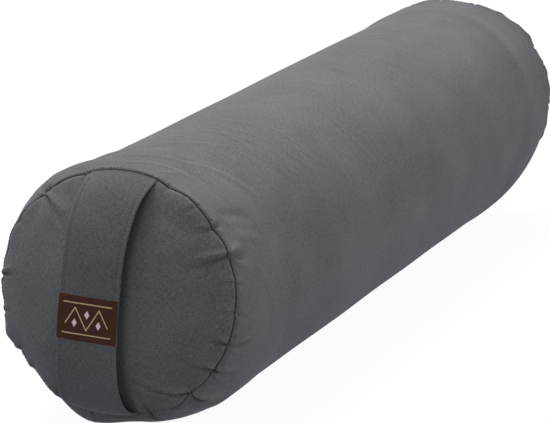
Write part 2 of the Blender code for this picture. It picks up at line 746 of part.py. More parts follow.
def build():
    clear_scene()
    parts = make_collection("round_yoga_bolster")
    cutters = make_collection("cutters")
    cover_cloth = make_material("grey_cotton_canvas", 98, 98, 100, 0.9)
    strap_cloth = make_material("grey_strap_canvas", 80, 80, 83, 0.9)
    label_cloth = make_material("brown_woven_label", 58, 43, 37, 0.8)
    inner_cloth = make_material("unbleached_cotton", 214, 204, 184, 0.9)
    hulls = make_material("buckwheat_hulls", 62, 48, 38, 0.85)
    tape_cloth = make_material("grey_zip_tape", 84, 84, 87, 0.85)
    coil_nylon = make_material("grey_nylon_coil", 72, 72, 76, 0.45)
    zip_metal = make_material("gunmetal_zinc", 92, 92, 96, 0.35, 1.0)

    tube = make_tube_panel("tube_panel", COVER, COVER_ROLL_SHARES, cover_cloth, parts)
    make_end_panel("handle_end_panel", HANDLE_END, COVER, COVER_CROWN_SHARES, 2, cover_cloth, parts)
    make_end_panel("far_end_panel", FAR_END, COVER, COVER_CROWN_SHARES, 2, cover_cloth, parts)
    make_strap(strap_cloth, label_cloth, parts)
    make_zip(COVER_ZIP, tube, tape_cloth, coil_nylon, zip_metal, parts, cutters)

    inner_tube = make_tube_panel("inner_tube_panel", INNER, INNER_ROLL_SHARES, inner_cloth, parts)
    make_end_panel("inner_handle_end_panel", HANDLE_END, INNER, INNER_CROWN_SHARES, 1, inner_cloth, parts)
    make_end_panel("inner_far_end_panel", FAR_END, INNER, INNER_CROWN_SHARES, 1, inner_cloth, parts)
    make_zip(INNER_ZIP, inner_tube, inner_cloth, coil_nylon, zip_metal, parts, cutters)
    make_filling(hulls, parts)


build()
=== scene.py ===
import math
from contextlib import contextmanager

import bpy
import numpy as np
from mathutils import Matrix, Vector, noise


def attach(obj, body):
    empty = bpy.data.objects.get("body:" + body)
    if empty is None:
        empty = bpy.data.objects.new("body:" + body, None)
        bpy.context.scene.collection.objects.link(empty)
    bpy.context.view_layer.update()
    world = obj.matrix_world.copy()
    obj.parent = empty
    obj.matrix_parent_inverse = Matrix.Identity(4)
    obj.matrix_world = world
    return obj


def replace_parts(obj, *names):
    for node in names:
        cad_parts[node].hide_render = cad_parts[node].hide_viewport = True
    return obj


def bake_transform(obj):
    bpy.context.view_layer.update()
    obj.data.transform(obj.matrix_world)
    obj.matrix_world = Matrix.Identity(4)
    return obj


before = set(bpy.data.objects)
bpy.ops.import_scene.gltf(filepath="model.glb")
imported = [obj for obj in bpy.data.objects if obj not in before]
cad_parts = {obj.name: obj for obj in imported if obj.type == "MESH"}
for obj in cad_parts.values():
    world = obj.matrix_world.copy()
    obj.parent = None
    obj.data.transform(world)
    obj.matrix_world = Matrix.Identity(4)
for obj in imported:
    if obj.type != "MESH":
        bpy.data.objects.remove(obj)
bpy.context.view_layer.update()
millimetre = 0.001

bolster = {
    "length": 0.660,                        # seam to seam
    "radius": 0.111,
    "baseWidth": 0.060,                     # flat that its weight presses on the floor
    "baseCorner": 0.0015,                   # rounds the corner between the tube and that flat
    "seamWidth": 0.208, "seamHeight": 0.196,
    "crown": 0.026, "crownPower": 2.4,      # how far the end panels bulge, and how squarely
    "rollLength": 0.026, "rollStart": math.radians(30),
    "rollSag": 0.056,                       # how much longer the roll is underneath, where the end lifts off
    "shoulderAngle": math.radians(42), "shoulderSpread": math.radians(32),
    "bellyAngle": math.radians(166), "bellySpread": math.radians(15),
    "kinkPower": 1.6,
    "kinkDraw": 0.5,                        # how far a kink draws the cloth along, beside its pull
    "kinkFade": 0.16, "panelKinkFade": 0.06,    # how soon kinks fade, as shares of the roll and of the panel
}
axisHeight = math.sqrt(bolster["radius"] ** 2 - (bolster["baseWidth"] / 2) ** 2)

# Each end sags in its own way. A kink is where the gathered seam is pulled in: angle in degrees from the top
# towards the zip's side, pull in mm, half width in degrees. A fold is a crease that starts at the seam:
# angle, depth in mm, then length in mm and slant in degrees per mm on the tube, and the same on the panel.
handleEnd = {
    "side": -1, "lean": 0.180, "turn": -0.080, "shift": -0.001, "rise": 0.0115,
    "shoulder": 0.006,                      # height of its top shoulder
    "belly": 0.0095,                        # how far the cloth hangs beside the strap's lower end
    "kinks": ((20, 1.8, 3.5), (43, 5.0, 2.6), (55, -1.6, 6), (61, 1.0, 2.5), (67, -1.6, 5), (78, 1.4, 3),
              (89, 3.0, 2.8), (102, 1.4, 3.5), (117, -4.0, 5.5), (127, 2.8, 3), (138, 2.8, 4), (148, -0.8, 3),
              (155, 1.4, 3.5), (172, 1.0, 5), (-13, -0.8, 4), (-22, 2.6, 4.0),
              (-33, -2.0, 5), (-50, 2.8, 3), (-60, -2.0, 5), (-64, 1.4, 1.6), (-76, -1.4, 7), (-90, 0.9, 2.5),
              (-106, 1.8, 2.4), (-120, 2.6, 3), (-136, 5.0, 2.8), (-145, -3.0, 5), (-159, 2.2, 3)),
    "folds": ((20, 0.9, 8, 0.0, 10, 0.0), (43, 3.0, 14, -0.1, 22, -0.15), (61, 0.8, 6, 0.0, 8, 0.0),
              (89, 2.2, 9, 0.2, 12, -0.2), (107, 0.7, 7, 0.0, 8, 0.0), (125, 1.4, 8, 0.1, 10, 0.0),
              (136, 1.0, 8, 0.0, 10, 0.0), (153, 1.0, 8, 0.0, 10, 0.0), (172, 0.8, 8, 0.0, 8, 0.0),
              (-8, 0.4, 5, 0.0, 8, 0.0), (-22, 0.5, 6, 0.1, 7, 0.0), (-38, 0.7, 6, 0.0, 8, 0.2),
              (-50, 1.6, 13, 0.1, 9, 0.2), (-64, 3.4, 26, 0.0, 20, 0.0), (-77, 0.9, 9, 0.0, 12, 0.1),
              (-91, 1.8, 15, 0.1, 8, 0.0), (-106, 3.6, 19, 0.2, 9, 0.0), (-120, 3.4, 15, 0.1, 12, -0.2),
              (-136, 4.6, 40, 0.05, 22, -0.7), (-159, 2.4, 10, 0.0, 14, 0.0)),
}
farEnd = {
    "side": 1, "lean": 0.070, "turn": -0.120, "shift": -0.005, "rise": 0.016, "shoulder": 0.0, "belly": 0.0,
    "kinks": ((8, 1.4, 3), (27, 1.0, 4), (46, 2.8, 3), (68, 1.4, 4), (90, 2.4, 3), (112, 1.6, 4),
              (133, 3.0, 3), (158, 1.4, 4), (-6, 3.4, 10), (-27, -1.6, 3), (-40, -1.8, 5), (-48, -2.8, 4),
              (-55, 1.4, 2.4), (-71, -1.6, 3.5), (-82, -1.2, 4), (-92, 0.8, 5), (-104, -1.6, 3.5),
              (-110, 1.6, 2.6), (-119, 1.8, 5), (-127, 1.2, 3), (-141, 2.8, 3), (-164, 1.4, 4)),
    "folds": ((8, 0.8, 9, 0.1, 12, 0.0), (27, 0.6, 8, 0.0, 8, 0.0), (46, 2.0, 12, 0.2, 16, 0.2),
              (68, 0.8, 8, 0.0, 9, 0.0), (90, 1.7, 10, -0.1, 12, 0.0), (112, 0.8, 8, 0.0, 9, 0.0),
              (133, 2.2, 12, -0.2, 14, 0.2), (158, 0.9, 8, 0.0, 8, 0.0), (-12, 0.9, 8, 0.0, 14, 0.0),
              (-55, 1.0, 10, -0.1, 10, 0.0), (-66, 0.6, 8, 0.0, 9, 0.0), (-90, 1.0, 8, 0.0, 9, 0.0),
              (-110, 1.8, 13, 0.2, 18, -0.2), (-127, 1.2, 9, 0.0, 9, 0.0), (-141, 2.0, 12, 0.2, 14, -0.2),
              (-164, 0.9, 8, 0.0, 9, 0.0)),
}


def say(text):
    print("bolster:", text)


def deselectAll():
    if bpy.context.object and bpy.context.object.mode != "OBJECT":
        bpy.ops.object.mode_set(mode="OBJECT")
    bpy.ops.object.select_all(action="DESELECT")


def pickOnly(*pieces):
    deselectAll()
    for piece in pieces:
        piece.select_set(True)
    bpy.context.view_layer.objects.active = pieces[0]


def applyModifiers(piece):
    pickOnly(piece)
    for modifier in list(piece.modifiers):
        bpy.ops.object.modifier_apply(modifier=modifier.name)


@contextmanager
def editing(piece):
    # Edit mode with this piece alone
    pickOnly(piece)
    bpy.ops.object.mode_set(mode="EDIT")
    yield
    bpy.ops.object.mode_set(mode="OBJECT")


def selectRim():
    # The open edges of the piece in edit mode
    bpy.ops.mesh.select_non_manifold(extend=False, use_wire=False, use_multi_face=False,
                                     use_non_contiguous=False, use_verts=False)


def smoothStep(low, high, value):
    t = np.clip((value - low) / (high - low), 0, 1)
    return t * t * (3 - 2 * t)


def wrapDegrees(degrees):
    return (degrees + 180) % 360 - 180


def getVectors(piece, field):
    values = np.zeros(len(piece.data.vertices) * 3, np.float32)
    piece.data.vertices.foreach_get(field, values)
    return values.reshape(-1, 3).astype(float)


def getPoints(piece):
    return getVectors(piece, "co")


def getNormals(piece):
    return getVectors(piece, "normal")


def setPoints(piece, points):
    piece.data.vertices.foreach_set("co", np.asarray(points, np.float32).ravel())
    piece.data.update()


def setNumbers(piece, name, numbers):
    attribute = piece.data.attributes.new(name, "FLOAT", "POINT")
    attribute.data.foreach_set("value", np.asarray(numbers, np.float32).ravel())


def getNumbers(piece, name):
    numbers = np.zeros(len(piece.data.vertices), np.float32)
    piece.data.attributes[name].data.foreach_get("value", numbers)
    return numbers.astype(float)


def setSpin(piece, degrees):
    # The angle round the axis, kept as sine and cosine so that it can be blended past 360
    setNumbers(piece, "spinSine", np.sin(np.radians(degrees)))
    setNumbers(piece, "spinCosine", np.cos(np.radians(degrees)))


def getSpin(piece):
    return np.degrees(np.arctan2(getNumbers(piece, "spinSine"), getNumbers(piece, "spinCosine"))) % 360


def smoothShade(piece, degrees=80):
    pickOnly(piece)
    bpy.ops.object.shade_smooth_by_angle(angle=math.radians(degrees))


def giveMaterial(piece, material):
    piece.data.materials.clear()
    piece.data.materials.append(material)


def thicken(piece, thickness, outward):
    # Faces look outward, and the wall lies behind them
    if sum(polygon.normal.dot(outward) for polygon in piece.data.polygons) < 0:
        piece.data.flip_normals()
    wall = piece.modifiers.new("wall", "SOLIDIFY")
    wall.thickness = thickness
    wall.offset = -1


# Materials
def linearColour(hexValue):
    channels = [int(hexValue[i:i + 2], 16) / 255 for i in (1, 3, 5)]
    return tuple(c / 12.92 if c <= 0.04045 else ((c + 0.055) / 1.055) ** 2.4 for c in channels) + (1.0,)


def startMaterial(name, roughness, metallic=0.0, **sockets):
    material = bpy.data.materials.new(name)
    material.use_nodes = True
    tree = material.node_tree
    shader = tree.nodes["Principled BSDF"]
    shader.inputs["Roughness"].default_value = roughness
    shader.inputs["Metallic"].default_value = metallic
    for socket, value in sockets.items():
        shader.inputs[socket.replace("_", " ")].default_value = value
    return material, tree, shader


def addNode(tree, kind, inputs=(), **settings):
    # A node with its settings. An input, by number or name, is a value, another node or one of its outputs.
    node = tree.nodes.new("ShaderNode" + kind)
    for key, value in settings.items():
        setattr(node, key, value)
    for key, value in inputs.items() if isinstance(inputs, dict) else enumerate(inputs):
        source = value.outputs[0] if isinstance(value, bpy.types.Node) else value
        if isinstance(source, bpy.types.NodeSocket):
            tree.links.new(source, node.inputs[key])
        else:
            node.inputs[key].default_value = source
    return node


def paintSurface(tree, shader, factor, stops, height, depth):
    # Colour between two stops by the factor, and relief by the height
    colour = addNode(tree, "ValToRGB", (factor,))
    for element, (position, hexValue) in zip(colour.color_ramp.elements, stops):
        element.position = position
        element.color = linearColour(hexValue)
    relief = addNode(tree, "Bump", {"Height": height, "Strength": 1.0, "Distance": depth})
    tree.links.new(colour.outputs[0], shader.inputs["Base Color"])
    tree.links.new(relief.outputs[0], shader.inputs["Normal"])
    return colour


def stretchedNoise(tree, source, scale, detail=1.5):
    placed = addNode(tree, "Mapping", {"Vector": source, "Scale": scale})
    return addNode(tree, "TexNoise", {"Vector": placed, "Scale": 1.0, "Detail": detail, "Roughness": 0.6})


fineCreases = {
    "spacing": 0.013, "length": 0.06, "slant": 0.30, "height": 0.0007,
    "thinness": 10.0, "sharpness": 2.0,
    "patchScale": 11.0, "patchRange": (0.44, 0.66), "patchStrength": (0.05, 1.0),
    "upRange": (0.12, 0.215), "upStrength": (0.015, 0.85),      # at the tube's sides and on top
    "alongRange": (-0.33, 0.33), "alongStrength": (1.0, 0.45),  # at the handle and at the far end
}


def addCreases(tree, place):
    # Fine hoops that the slack cloth makes round the tube, most of them on top near the handle
    x, y, z = addNode(tree, "SeparateXYZ", (place,)).outputs
    slanted = addNode(tree, "Math", (y, fineCreases["slant"], x), operation="MULTIPLY_ADD")
    along = addNode(tree, "Math", (slanted, fineCreases["spacing"]), operation="DIVIDE")
    beside, up = (addNode(tree, "Math", (axis, fineCreases["length"]), operation="DIVIDE") for axis in (y, z))
    stretched = addNode(tree, "CombineXYZ", (along, beside, up))
    wave = addNode(tree, "TexNoise", {"Vector": stretched, "Scale": 1.0, "Detail": 0.0})
    away = addNode(tree, "Math", (wave, 0.5), operation="SUBTRACT")
    away = addNode(tree, "Math", (away,), operation="ABSOLUTE")
    ridge = addNode(tree, "Math", (away, -fineCreases["thinness"], 1.0), operation="MULTIPLY_ADD")
    ridge = addNode(tree, "Math", (ridge, 0.0), operation="MAXIMUM")
    ridge = addNode(tree, "Math", (ridge, fineCreases["sharpness"]), operation="POWER")
    patchy = addNode(tree, "TexNoise", {"Vector": place, "Scale": fineCreases["patchScale"], "Detail": 1.0})
    strengths = []
    for value, name in ((z, "up"), (x, "along"), (patchy, "patch")):
        limits = fineCreases[name + "Range"] + fineCreases[name + "Strength"]
        strengths.append(addNode(tree, "MapRange", (value, *limits)))
    strength = addNode(tree, "Math", (strengths[0], strengths[1]), operation="MULTIPLY")
    strength = addNode(tree, "Math", (strength, strengths[2]), operation="MULTIPLY")
    return addNode(tree, "Math", (ridge, strength), operation="MULTIPLY")


def wovenCloth(name, hexDark, hexLight, threadGap=0.0007, relief=0.00016, sheen=0.2, roughness=0.9,
               onMap=True, creased=False):
    # Plain weave: warp and weft of uneven yarn, on the cut's own map in metres or on the object itself
    material, tree, shader = startMaterial(name, roughness, Specular_IOR_Level=0.2, Sheen_Weight=sheen,
                                           Sheen_Roughness=0.5, Sheen_Tint=linearColour("#e0dcf2"))
    place = addNode(tree, "TexCoord").outputs["Object"]
    source = addNode(tree, "UVMap", uv_map="cut") if onMap else place
    slub = 5                                 # a thick place in the yarn runs this many threads
    fine, long = 1 / threadGap, 1 / (threadGap * slub)
    warp = stretchedNoise(tree, source, (fine, long, long))
    weft = stretchedNoise(tree, source, (long, fine, fine))
    woven = addNode(tree, "Math", (warp, weft), operation="ADD")
    woven = addNode(tree, "Math", (woven, 0.5), operation="MULTIPLY")
    cloudy = stretchedNoise(tree, place, (16, 16, 16), 3.0)
    tint = addNode(tree, "Math", (cloudy, 0.30, woven), operation="MULTIPLY_ADD")
    if creased:
        hoops, height = addCreases(tree, place), fineCreases["height"] / relief
        woven = addNode(tree, "Math", (hoops, height, woven), operation="MULTIPLY_ADD")
    paintSurface(tree, shader, tint, ((0.50, hexDark), (0.80, hexLight)), woven, relief)
    return material


# Cotton canvas, dyed mid grey: matt, with a faint violet bloom where light grazes the fibres. Its yarn is
# 0.5 mm and is drawn at 0.7 mm, so that it shows.
canvas = wovenCloth("cottonCanvas", "#545657", "#747677")
tubeCanvas = wovenCloth("cottonCanvasTube", "#545657", "#747677", creased=True)
# The strap is cut from a darker length
strapCanvas = wovenCloth("cottonCanvasStrap", "#4b4d4f", "#696b6d")
# Unbleached cotton of the inner cushion, a plain calico
calico = wovenCloth("unbleachedCalico", "#c9bea6", "#ddd3bd", 0.0011, 0.00012, 0.1, onMap=False)
# Polyester zip tape: a fine herringbone that reads as a close, slightly shiny weave
zipTapeCloth = wovenCloth("polyesterTape", "#4c4d51", "#5c5d62", 0.0007, 0.0001, 0.1, 0.7, onMap=False)


def makeFinish(name, roughness, texture, stops, depth, **sockets):
    # A finish whose colour and relief follow one texture
    material, tree, shader = startMaterial(name, roughness, **sockets)
    height = texture(tree, addNode(tree, "TexCoord").outputs["Object"])
    paintSurface(tree, shader, height, stops, height, depth)
    return material


def twistedPlies(tree, place):
    plies = addNode(tree, "TexWave", {"Vector": place, "Scale": 500.0}, bands_direction="DIAGONAL")
    return plies.outputs["Fac"]


def drawnLines(tree, place):
    return stretchedNoise(tree, place, (400, 2500, 2500), 2.0)


def huskCells(tree, place):
    return addNode(tree, "TexVoronoi", {"Vector": place, "Scale": 260.0}).outputs["Distance"]


def makeGunmetal():
    # Die-cast zinc with a dark nickel plating, tumbled: fine grain, brighter where it has rubbed
    material, tree, shader = startMaterial("gunmetalZinc", 0.34, 1.0)
    place = addNode(tree, "TexCoord").outputs["Object"]
    grain = stretchedNoise(tree, place, (1800, 1800, 1800), 3.0)
    rubbed = stretchedNoise(tree, place, (220, 220, 220), 2.0)
    roughness = addNode(tree, "Math", (grain, 0.25, 0.22), operation="MULTIPLY_ADD")
    tree.links.new(roughness.outputs[0], shader.inputs["Roughness"])
    paintSurface(tree, shader, rubbed, ((0.35, "#5a5a5f"), (0.72, "#85858b")), grain, 0.00002)
    return material


# Polyester sewing thread: two plies twisted, with a soft shine
# Its near-black colour is partly painted shade: it stands in for the shadow in the stitch holes
threadAndHoleShade = makeFinish("polyesterThreadAndHoleShade", 0.55, twistedPlies, ((0.0, "#17181a"), (1.0, "#2b2c2f")), 0.00005,
                    Specular_IOR_Level=0.4)
# Nylon coil: an extruded monofilament, smooth and a little glossy
nylon = makeFinish("nylonCoil", 0.38, drawnLines, ((0.3, "#44454a"), (0.7, "#505157")), 0.00002, IOR=1.53)
gunmetal = makeGunmetal()
# Buckwheat hulls: dry, dark brown, three-sided husks about 4 mm long
hulls = makeFinish("buckwheatHulls", 0.75, huskCells, ((0.0, "#5a4232"), (0.8, "#231811")), -0.001)

label = {
    "width": 0.0520, "height": 0.0355, "thickness": 0.0006, "drop": 0.008,
    "rule": 0.0122, "line": 0.00046,         # two rules this far from its middle, and a line's half width
    "zigzag": 0.0086, "period": 0.0210,      # height and repeat of the zigzag between them
    "lozenge": 0.0034, "level": 0.0036,      # half height of a lozenge, and how far it lies from the middle
    "lozengeSlope": 1.5,                     # how much taller than wide a lozenge is
    "reach": 0.0186, "ruleReach": 0.0214,
    "columns": 26, "rows": 18, "edgeRound": 0.00015, "puff": 0.00025,
}


def within(tree, value, middle, limit):
    # 1 where the value is nearer to the middle than the limit
    away = addNode(tree, "Math", (value, middle), operation="SUBTRACT")
    away = addNode(tree, "Math", (away,), operation="ABSOLUTE")
    return addNode(tree, "Math", (away, limit), operation="LESS_THAN")


def makeLabelWeave():
    # Damask label, satin-woven in polyester: brown ground, beige rules and zigzag, pale pink lozenges.
    # Its ribs are 0.25 mm and are drawn at 0.5 mm.
    material, tree, shader = startMaterial("damaskLabel", 0.7, Specular_IOR_Level=0.2)
    cut = addNode(tree, "UVMap", uv_map="cut")
    across, up = addNode(tree, "SeparateXYZ", (cut,)).outputs[:2]
    half = label["period"] / 2
    slope = 2 * label["zigzag"] / half
    ramped = addNode(tree, "Math", (across, 10 * label["period"]), operation="ADD")
    ramped = addNode(tree, "Math", (ramped, half), operation="PINGPONG")
    wave = addNode(tree, "Math", (ramped, slope, -label["zigzag"]), operation="MULTIPLY_ADD")
    onWave = within(tree, up, wave, label["line"] * math.sqrt(1 + slope ** 2))
    upOrDown = addNode(tree, "Math", (up,), operation="ABSOLUTE")
    onRule = within(tree, upOrDown, label["rule"], label["line"])
    inside = within(tree, across, 0.0, label["reach"])
    zigzag = addNode(tree, "Math", (onWave, inside), operation="MULTIPLY")
    onRibbon = within(tree, across, 0.0, label["ruleReach"])
    rules = addNode(tree, "Math", (onRule, onRibbon), operation="MULTIPLY")
    drawn = addNode(tree, "Math", (zigzag, rules), operation="MAXIMUM")
    # Lozenges stand in the zigzag's valleys, above and below in turn
    peaked = addNode(tree, "Math", (ramped, half / 2), operation="GREATER_THAN")
    level = addNode(tree, "Math", (peaked, -2 * label["level"], label["level"]), operation="MULTIPLY_ADD")
    tall = addNode(tree, "Math", (up, level), operation="SUBTRACT")
    tall = addNode(tree, "Math", (tall,), operation="ABSOLUTE")
    beyond = addNode(tree, "Math", (half, ramped), operation="SUBTRACT")
    near = addNode(tree, "Math", (ramped, beyond), operation="MINIMUM")
    spread = addNode(tree, "Math", (near, label["lozengeSlope"]), operation="MULTIPLY")
    spread = addNode(tree, "Math", (spread, tall), operation="ADD")
    lozenge = addNode(tree, "Math", (spread, label["lozenge"]), operation="LESS_THAN")
    lozenge = addNode(tree, "Math", (lozenge, inside), operation="MULTIPLY")
    ribs = stretchedNoise(tree, cut, (260, 2000, 1), 1.0)
    raised = addNode(tree, "Math", (drawn, lozenge), operation="MAXIMUM")
    raised = addNode(tree, "Math", (raised, 0.6, ribs), operation="MULTIPLY_ADD")
    painted = paintSurface(tree, shader, ribs, ((0.3, "#2f170c"), (0.7, "#432411")), raised, 0.00012)
    for mask, hexValue in ((drawn, "#cdb98c"), (lozenge, "#f4d2dc")):
        painted = addNode(tree, "MixRGB", (mask, painted, linearColour(hexValue)))
    tree.links.new(painted.outputs[0], shader.inputs["Base Color"])
    return material


labelWeave = makeLabelWeave()


# Shape of the cover. Section points are (y, z) from the bolster's axis.
def bodyPoint(angle):
    radius = bolster["radius"]
    y, z = radius * math.sin(angle), radius * math.cos(angle)
    gap = z + axisHeight
    z = -axisHeight + (gap + math.sqrt(gap * gap + bolster["baseCorner"] * bolster["baseCorner"])) / 2
    return Vector((y, z))


def seamPoint(end, angle, pull=0.0):
    halfWidth = bolster["seamWidth"] / 2 - pull
    halfHeight = bolster["seamHeight"] / 2 - pull
    return Vector((end["shift"] + halfWidth * math.sin(angle), end["rise"] + halfHeight * math.cos(angle)))


def kinkedSeam(end, angle, nearness):
    # The seam's point with its kinks, which fade with the nearness, and how far they draw the cloth along
    pull = 0.0
    for degrees, depth, halfWidth in end["kinks"]:
        away = wrapDegrees(math.degrees(angle) - degrees)
        pull += depth * math.exp(-(abs(away) / halfWidth) ** bolster["kinkPower"])
    pull *= millimetre
    point = seamPoint(end, angle).lerp(seamPoint(end, angle, pull), nearness)
    return point, pull * bolster["kinkDraw"] * nearness


def placeOut(end, outward, sectionPoint):
    # A point that lies outward of the seam's leaning plane
    y, z = sectionPoint
    x = end["side"] * (bolster["length"] / 2 + outward) + end["lean"] * z + end["turn"] * y
    return Vector((x, y, axisHeight + z))


def rollLength(angle):
    lowness = (1 - math.cos(angle)) / 2
    return bolster["rollLength"] + bolster["rollSag"] * lowness ** 2


def bulge(end, name, angle):
    # A hump round one angle. 27 / 4 makes its top as high as named, whichever end of the roll it leans to.
    away = math.remainder(angle - bolster[name + "Angle"], 2 * math.pi) / bolster[name + "Spread"]
    return end[name] * math.exp(-away ** 2) * 27 / 4


def rollPoint(end, angle, share):
    # Along the roll from the seam, share 0, to the straight tube, share 1
    start = bolster["rollStart"]
    slope = math.acos(math.cos(start) * (1 - share))
    swell = (math.sin(slope) - math.sin(start)) / (1 - math.sin(start))
    seam, drawn = kinkedSeam(end, angle, math.exp(-share / bolster["kinkFade"]))
    point = seam.lerp(bodyPoint(angle), swell)
    shoulder = bulge(end, "shoulder", angle) * share ** 2 * (1 - share)
    point += Vector((math.sin(angle), math.cos(angle))) * shoulder
    # Beside the strap's lower end the cloth hangs to the floor right behind the seam
    point.y -= bulge(end, "belly", angle) * share * (1 - share) ** 2
    return placeOut(end, -(rollLength(angle) * share + drawn), point)


def panelPoint(end, angle, share):
    # Over the end panel, from its middle, share 0, to the seam, share 1
    centre = placeOut(end, 0.0, Vector((end["shift"], end["rise"])))
    seam, drawn = kinkedSeam(end, angle, math.exp(-(1 - share) / bolster["panelKinkFade"]))
    rise = bolster["crown"] * (1 - share ** bolster["crownPower"])
    return centre.lerp(placeOut(end, -drawn, seam), share) + Vector((end["side"] * rise, 0, 0))


cover = {
    "columns": 384,
    "rollShares": (0.0, 0.028, 0.070, 0.13, 0.20, 0.29, 0.39, 0.50, 0.62, 0.75, 0.88, 1.0),
    "nearRows": 15,                          # rows over the stretch behind each roll
    "nearStretch": 0.090, "nearPower": 1.3,
    "middleRows": 16,
    "facetHalf": math.radians(6),            # half the angle of each face of the solid tube
    "zipAngle": 75.0, "slotWidth": 0.011, "slotLength": 0.511,
    "slotTurn": (0.35, 0.55),                # mm that the slot's edge is turned down, in two steps
    "slotSpare": (0.05, 0.0008),             # degrees and metres past the slot that still count as in it
    "slotRim": 0.002,                        # its rim lies within this of its ends
    "landHalf": 0.0142,                      # flat on both sides of the zip
    "landFade": 1.5, "slotFade": (0.004, 0.014),    # how far beyond it the tube is round again
    "lowest": 0.0001,
}
zipAngle = math.radians(cover["zipAngle"])
columnStep = 360 / cover["columns"]
flatGap = bolster["radius"] * (1 - math.cos(cover["facetHalf"]))
zipPlane = math.sqrt((bolster["radius"] - flatGap) ** 2 - cover["landHalf"] ** 2)
zipOut = Vector((0, math.sin(zipAngle), math.cos(zipAngle)))
zipAcross = Vector((0, math.cos(zipAngle), -math.sin(zipAngle)))
slotEdge = math.degrees(math.atan(cover["slotWidth"] / 2 / zipPlane))
slotColumns = [round((cover["zipAngle"] + sign * slotEdge) / columnStep) for sign in (-1, 1)]


def columnAngle(column):
    # Even columns, but two of them run along the edges of the zip's slot
    degrees = column * columnStep
    for slotColumn, sign in zip(slotColumns, (-1, 1)):
        nearness = max(0.0, 1 - abs(column - slotColumn))
        degrees += (cover["zipAngle"] + sign * slotEdge - slotColumn * columnStep) * nearness
    return math.radians(degrees)


def straightShares():
    # Shares of the straight tube, with closer rows near its two ends
    straight = bolster["length"] - 2 * rollLength(math.pi / 2)
    near = cover["nearStretch"] / straight
    nearRows, power = cover["nearRows"], cover["nearPower"]
    shares = [near * (row / nearRows) ** power for row in range(1, nearRows + 1)]
    middle = [near + (1 - 2 * near) * row / cover["middleRows"] for row in range(1, cover["middleRows"])]
    return shares + middle + [1 - share for share in reversed(shares)]


def tubePoints():
    # Rows of points from the handle's seam to the far seam
    angles = [columnAngle(column) for column in range(cover["columns"] + 1)]
    rows = [[rollPoint(handleEnd, angle, share) for angle in angles] for share in cover["rollShares"]]
    farRows = [[rollPoint(farEnd, angle, share) for angle in angles] for share in cover["rollShares"]]
    first, last = rows[-1], farRows[-1]
    for share in straightShares():
        rows.append([here.lerp(there, share) for here, there in zip(first, last)])
    return np.array(rows + farRows[::-1])


def layCloth(name, across, along):
    # A flat cut of cloth: a grid whose points are then moved into shape
    deselectAll()
    bpy.ops.mesh.primitive_grid_add(x_subdivisions=across, y_subdivisions=along, size=2)
    cloth = bpy.context.object
    cloth.name = name
    cloth.data.uv_layers[0].name = "cut"
    return cloth


def setCut(piece, places):
    # The cut's own map, in metres, from a place for each point
    corners = np.zeros(len(piece.data.loops), np.int32)
    piece.data.loops.foreach_get("vertex_index", corners)
    piece.data.uv_layers["cut"].data.foreach_set("uv", np.asarray(places, np.float32)[corners].ravel())


def flattenLand(points):
    # The cover lies flat beside the zip, and nothing reaches below the floor
    middle = np.array([0, 0, axisHeight])
    height = (points - middle) @ np.array(zipOut) - zipPlane
    across = np.abs((points - middle) @ np.array(zipAcross))
    fadeStart, fadeStop = (cover["slotLength"] / 2 + margin for margin in cover["slotFade"])
    weight = 1 - smoothStep(cover["landHalf"], cover["landHalf"] * cover["landFade"], across)
    weight *= (1 - smoothStep(fadeStart, fadeStop, np.abs(points[..., 0]))) * (points[..., 1] > 0)
    points -= (height * weight)[..., None] * np.array(zipOut)
    points[..., 2] = np.maximum(points[..., 2], cover["lowest"])
    return points


def makeTubeCut():
    points = tubePoints()
    rows, columns = points.shape[0] - 1, cover["columns"]
    cloth = layCloth("coverTube", columns, rows)
    for sign in (-1, 1):                     # the slot's end rows are drawn to its ends
        end = sign * cover["slotLength"] / 2
        row = int(np.argmin(np.abs(points[:, slotColumns[0] + 2, 0] - end)))
        points[row, slotColumns[0] - 1:slotColumns[1] + 2, 0] = end
    points = flattenLand(points)
    setPoints(cloth, points.reshape(-1, 3))
    steps = np.linalg.norm(np.diff(points, axis=0), axis=2).mean(axis=1)
    along = np.concatenate([[0], np.cumsum(steps)])
    around = np.arange(columns + 1) * (2 * math.pi * bolster["radius"] / columns)
    setCut(cloth, np.stack(np.broadcast_arrays(around[None, :], along[:, None]), -1).reshape(-1, 2))
    degrees = np.degrees([columnAngle(column) for column in range(columns + 1)])
    setSpin(cloth, np.broadcast_to(degrees[None, :], (rows + 1, columns + 1)))
    reach = np.minimum(along, along[-1] - along)
    setNumbers(cloth, "reach", np.broadcast_to(reach[:, None], (rows + 1, columns + 1)))
    return cloth


def makePanelCut(name, end):
    # A square grid drawn out to a round, so that its rim has the tube's columns
    count = cover["columns"] // 4
    cloth = layCloth(name, count, count)
    points, places, spins, reaches = [], [], [], []
    for vertex in cloth.data.vertices:
        a, b = vertex.co.x, vertex.co.y
        if abs(a) < 1e-6 and abs(b) < 1e-6:
            share, column = 0.0, 0.0
        elif abs(a) >= abs(b):
            share, column = abs(a), (b / a * count / 2 + (0 if a > 0 else 2 * count)) % (4 * count)
        else:
            share, column = abs(b), (-a / b * count / 2 + (count if b > 0 else 3 * count)) % (4 * count)
        point = panelPoint(end, columnAngle(column), share)
        points.append(point)
        places.append((point.y, point.z))
        spins.append(math.degrees(columnAngle(column)))
        reaches.append(-(1 - share) * bolster["seamHeight"] / 2)
    setPoints(cloth, points)
    setCut(cloth, places)
    setSpin(cloth, spins)
    setNumbers(cloth, "reach", reaches)
    return cloth


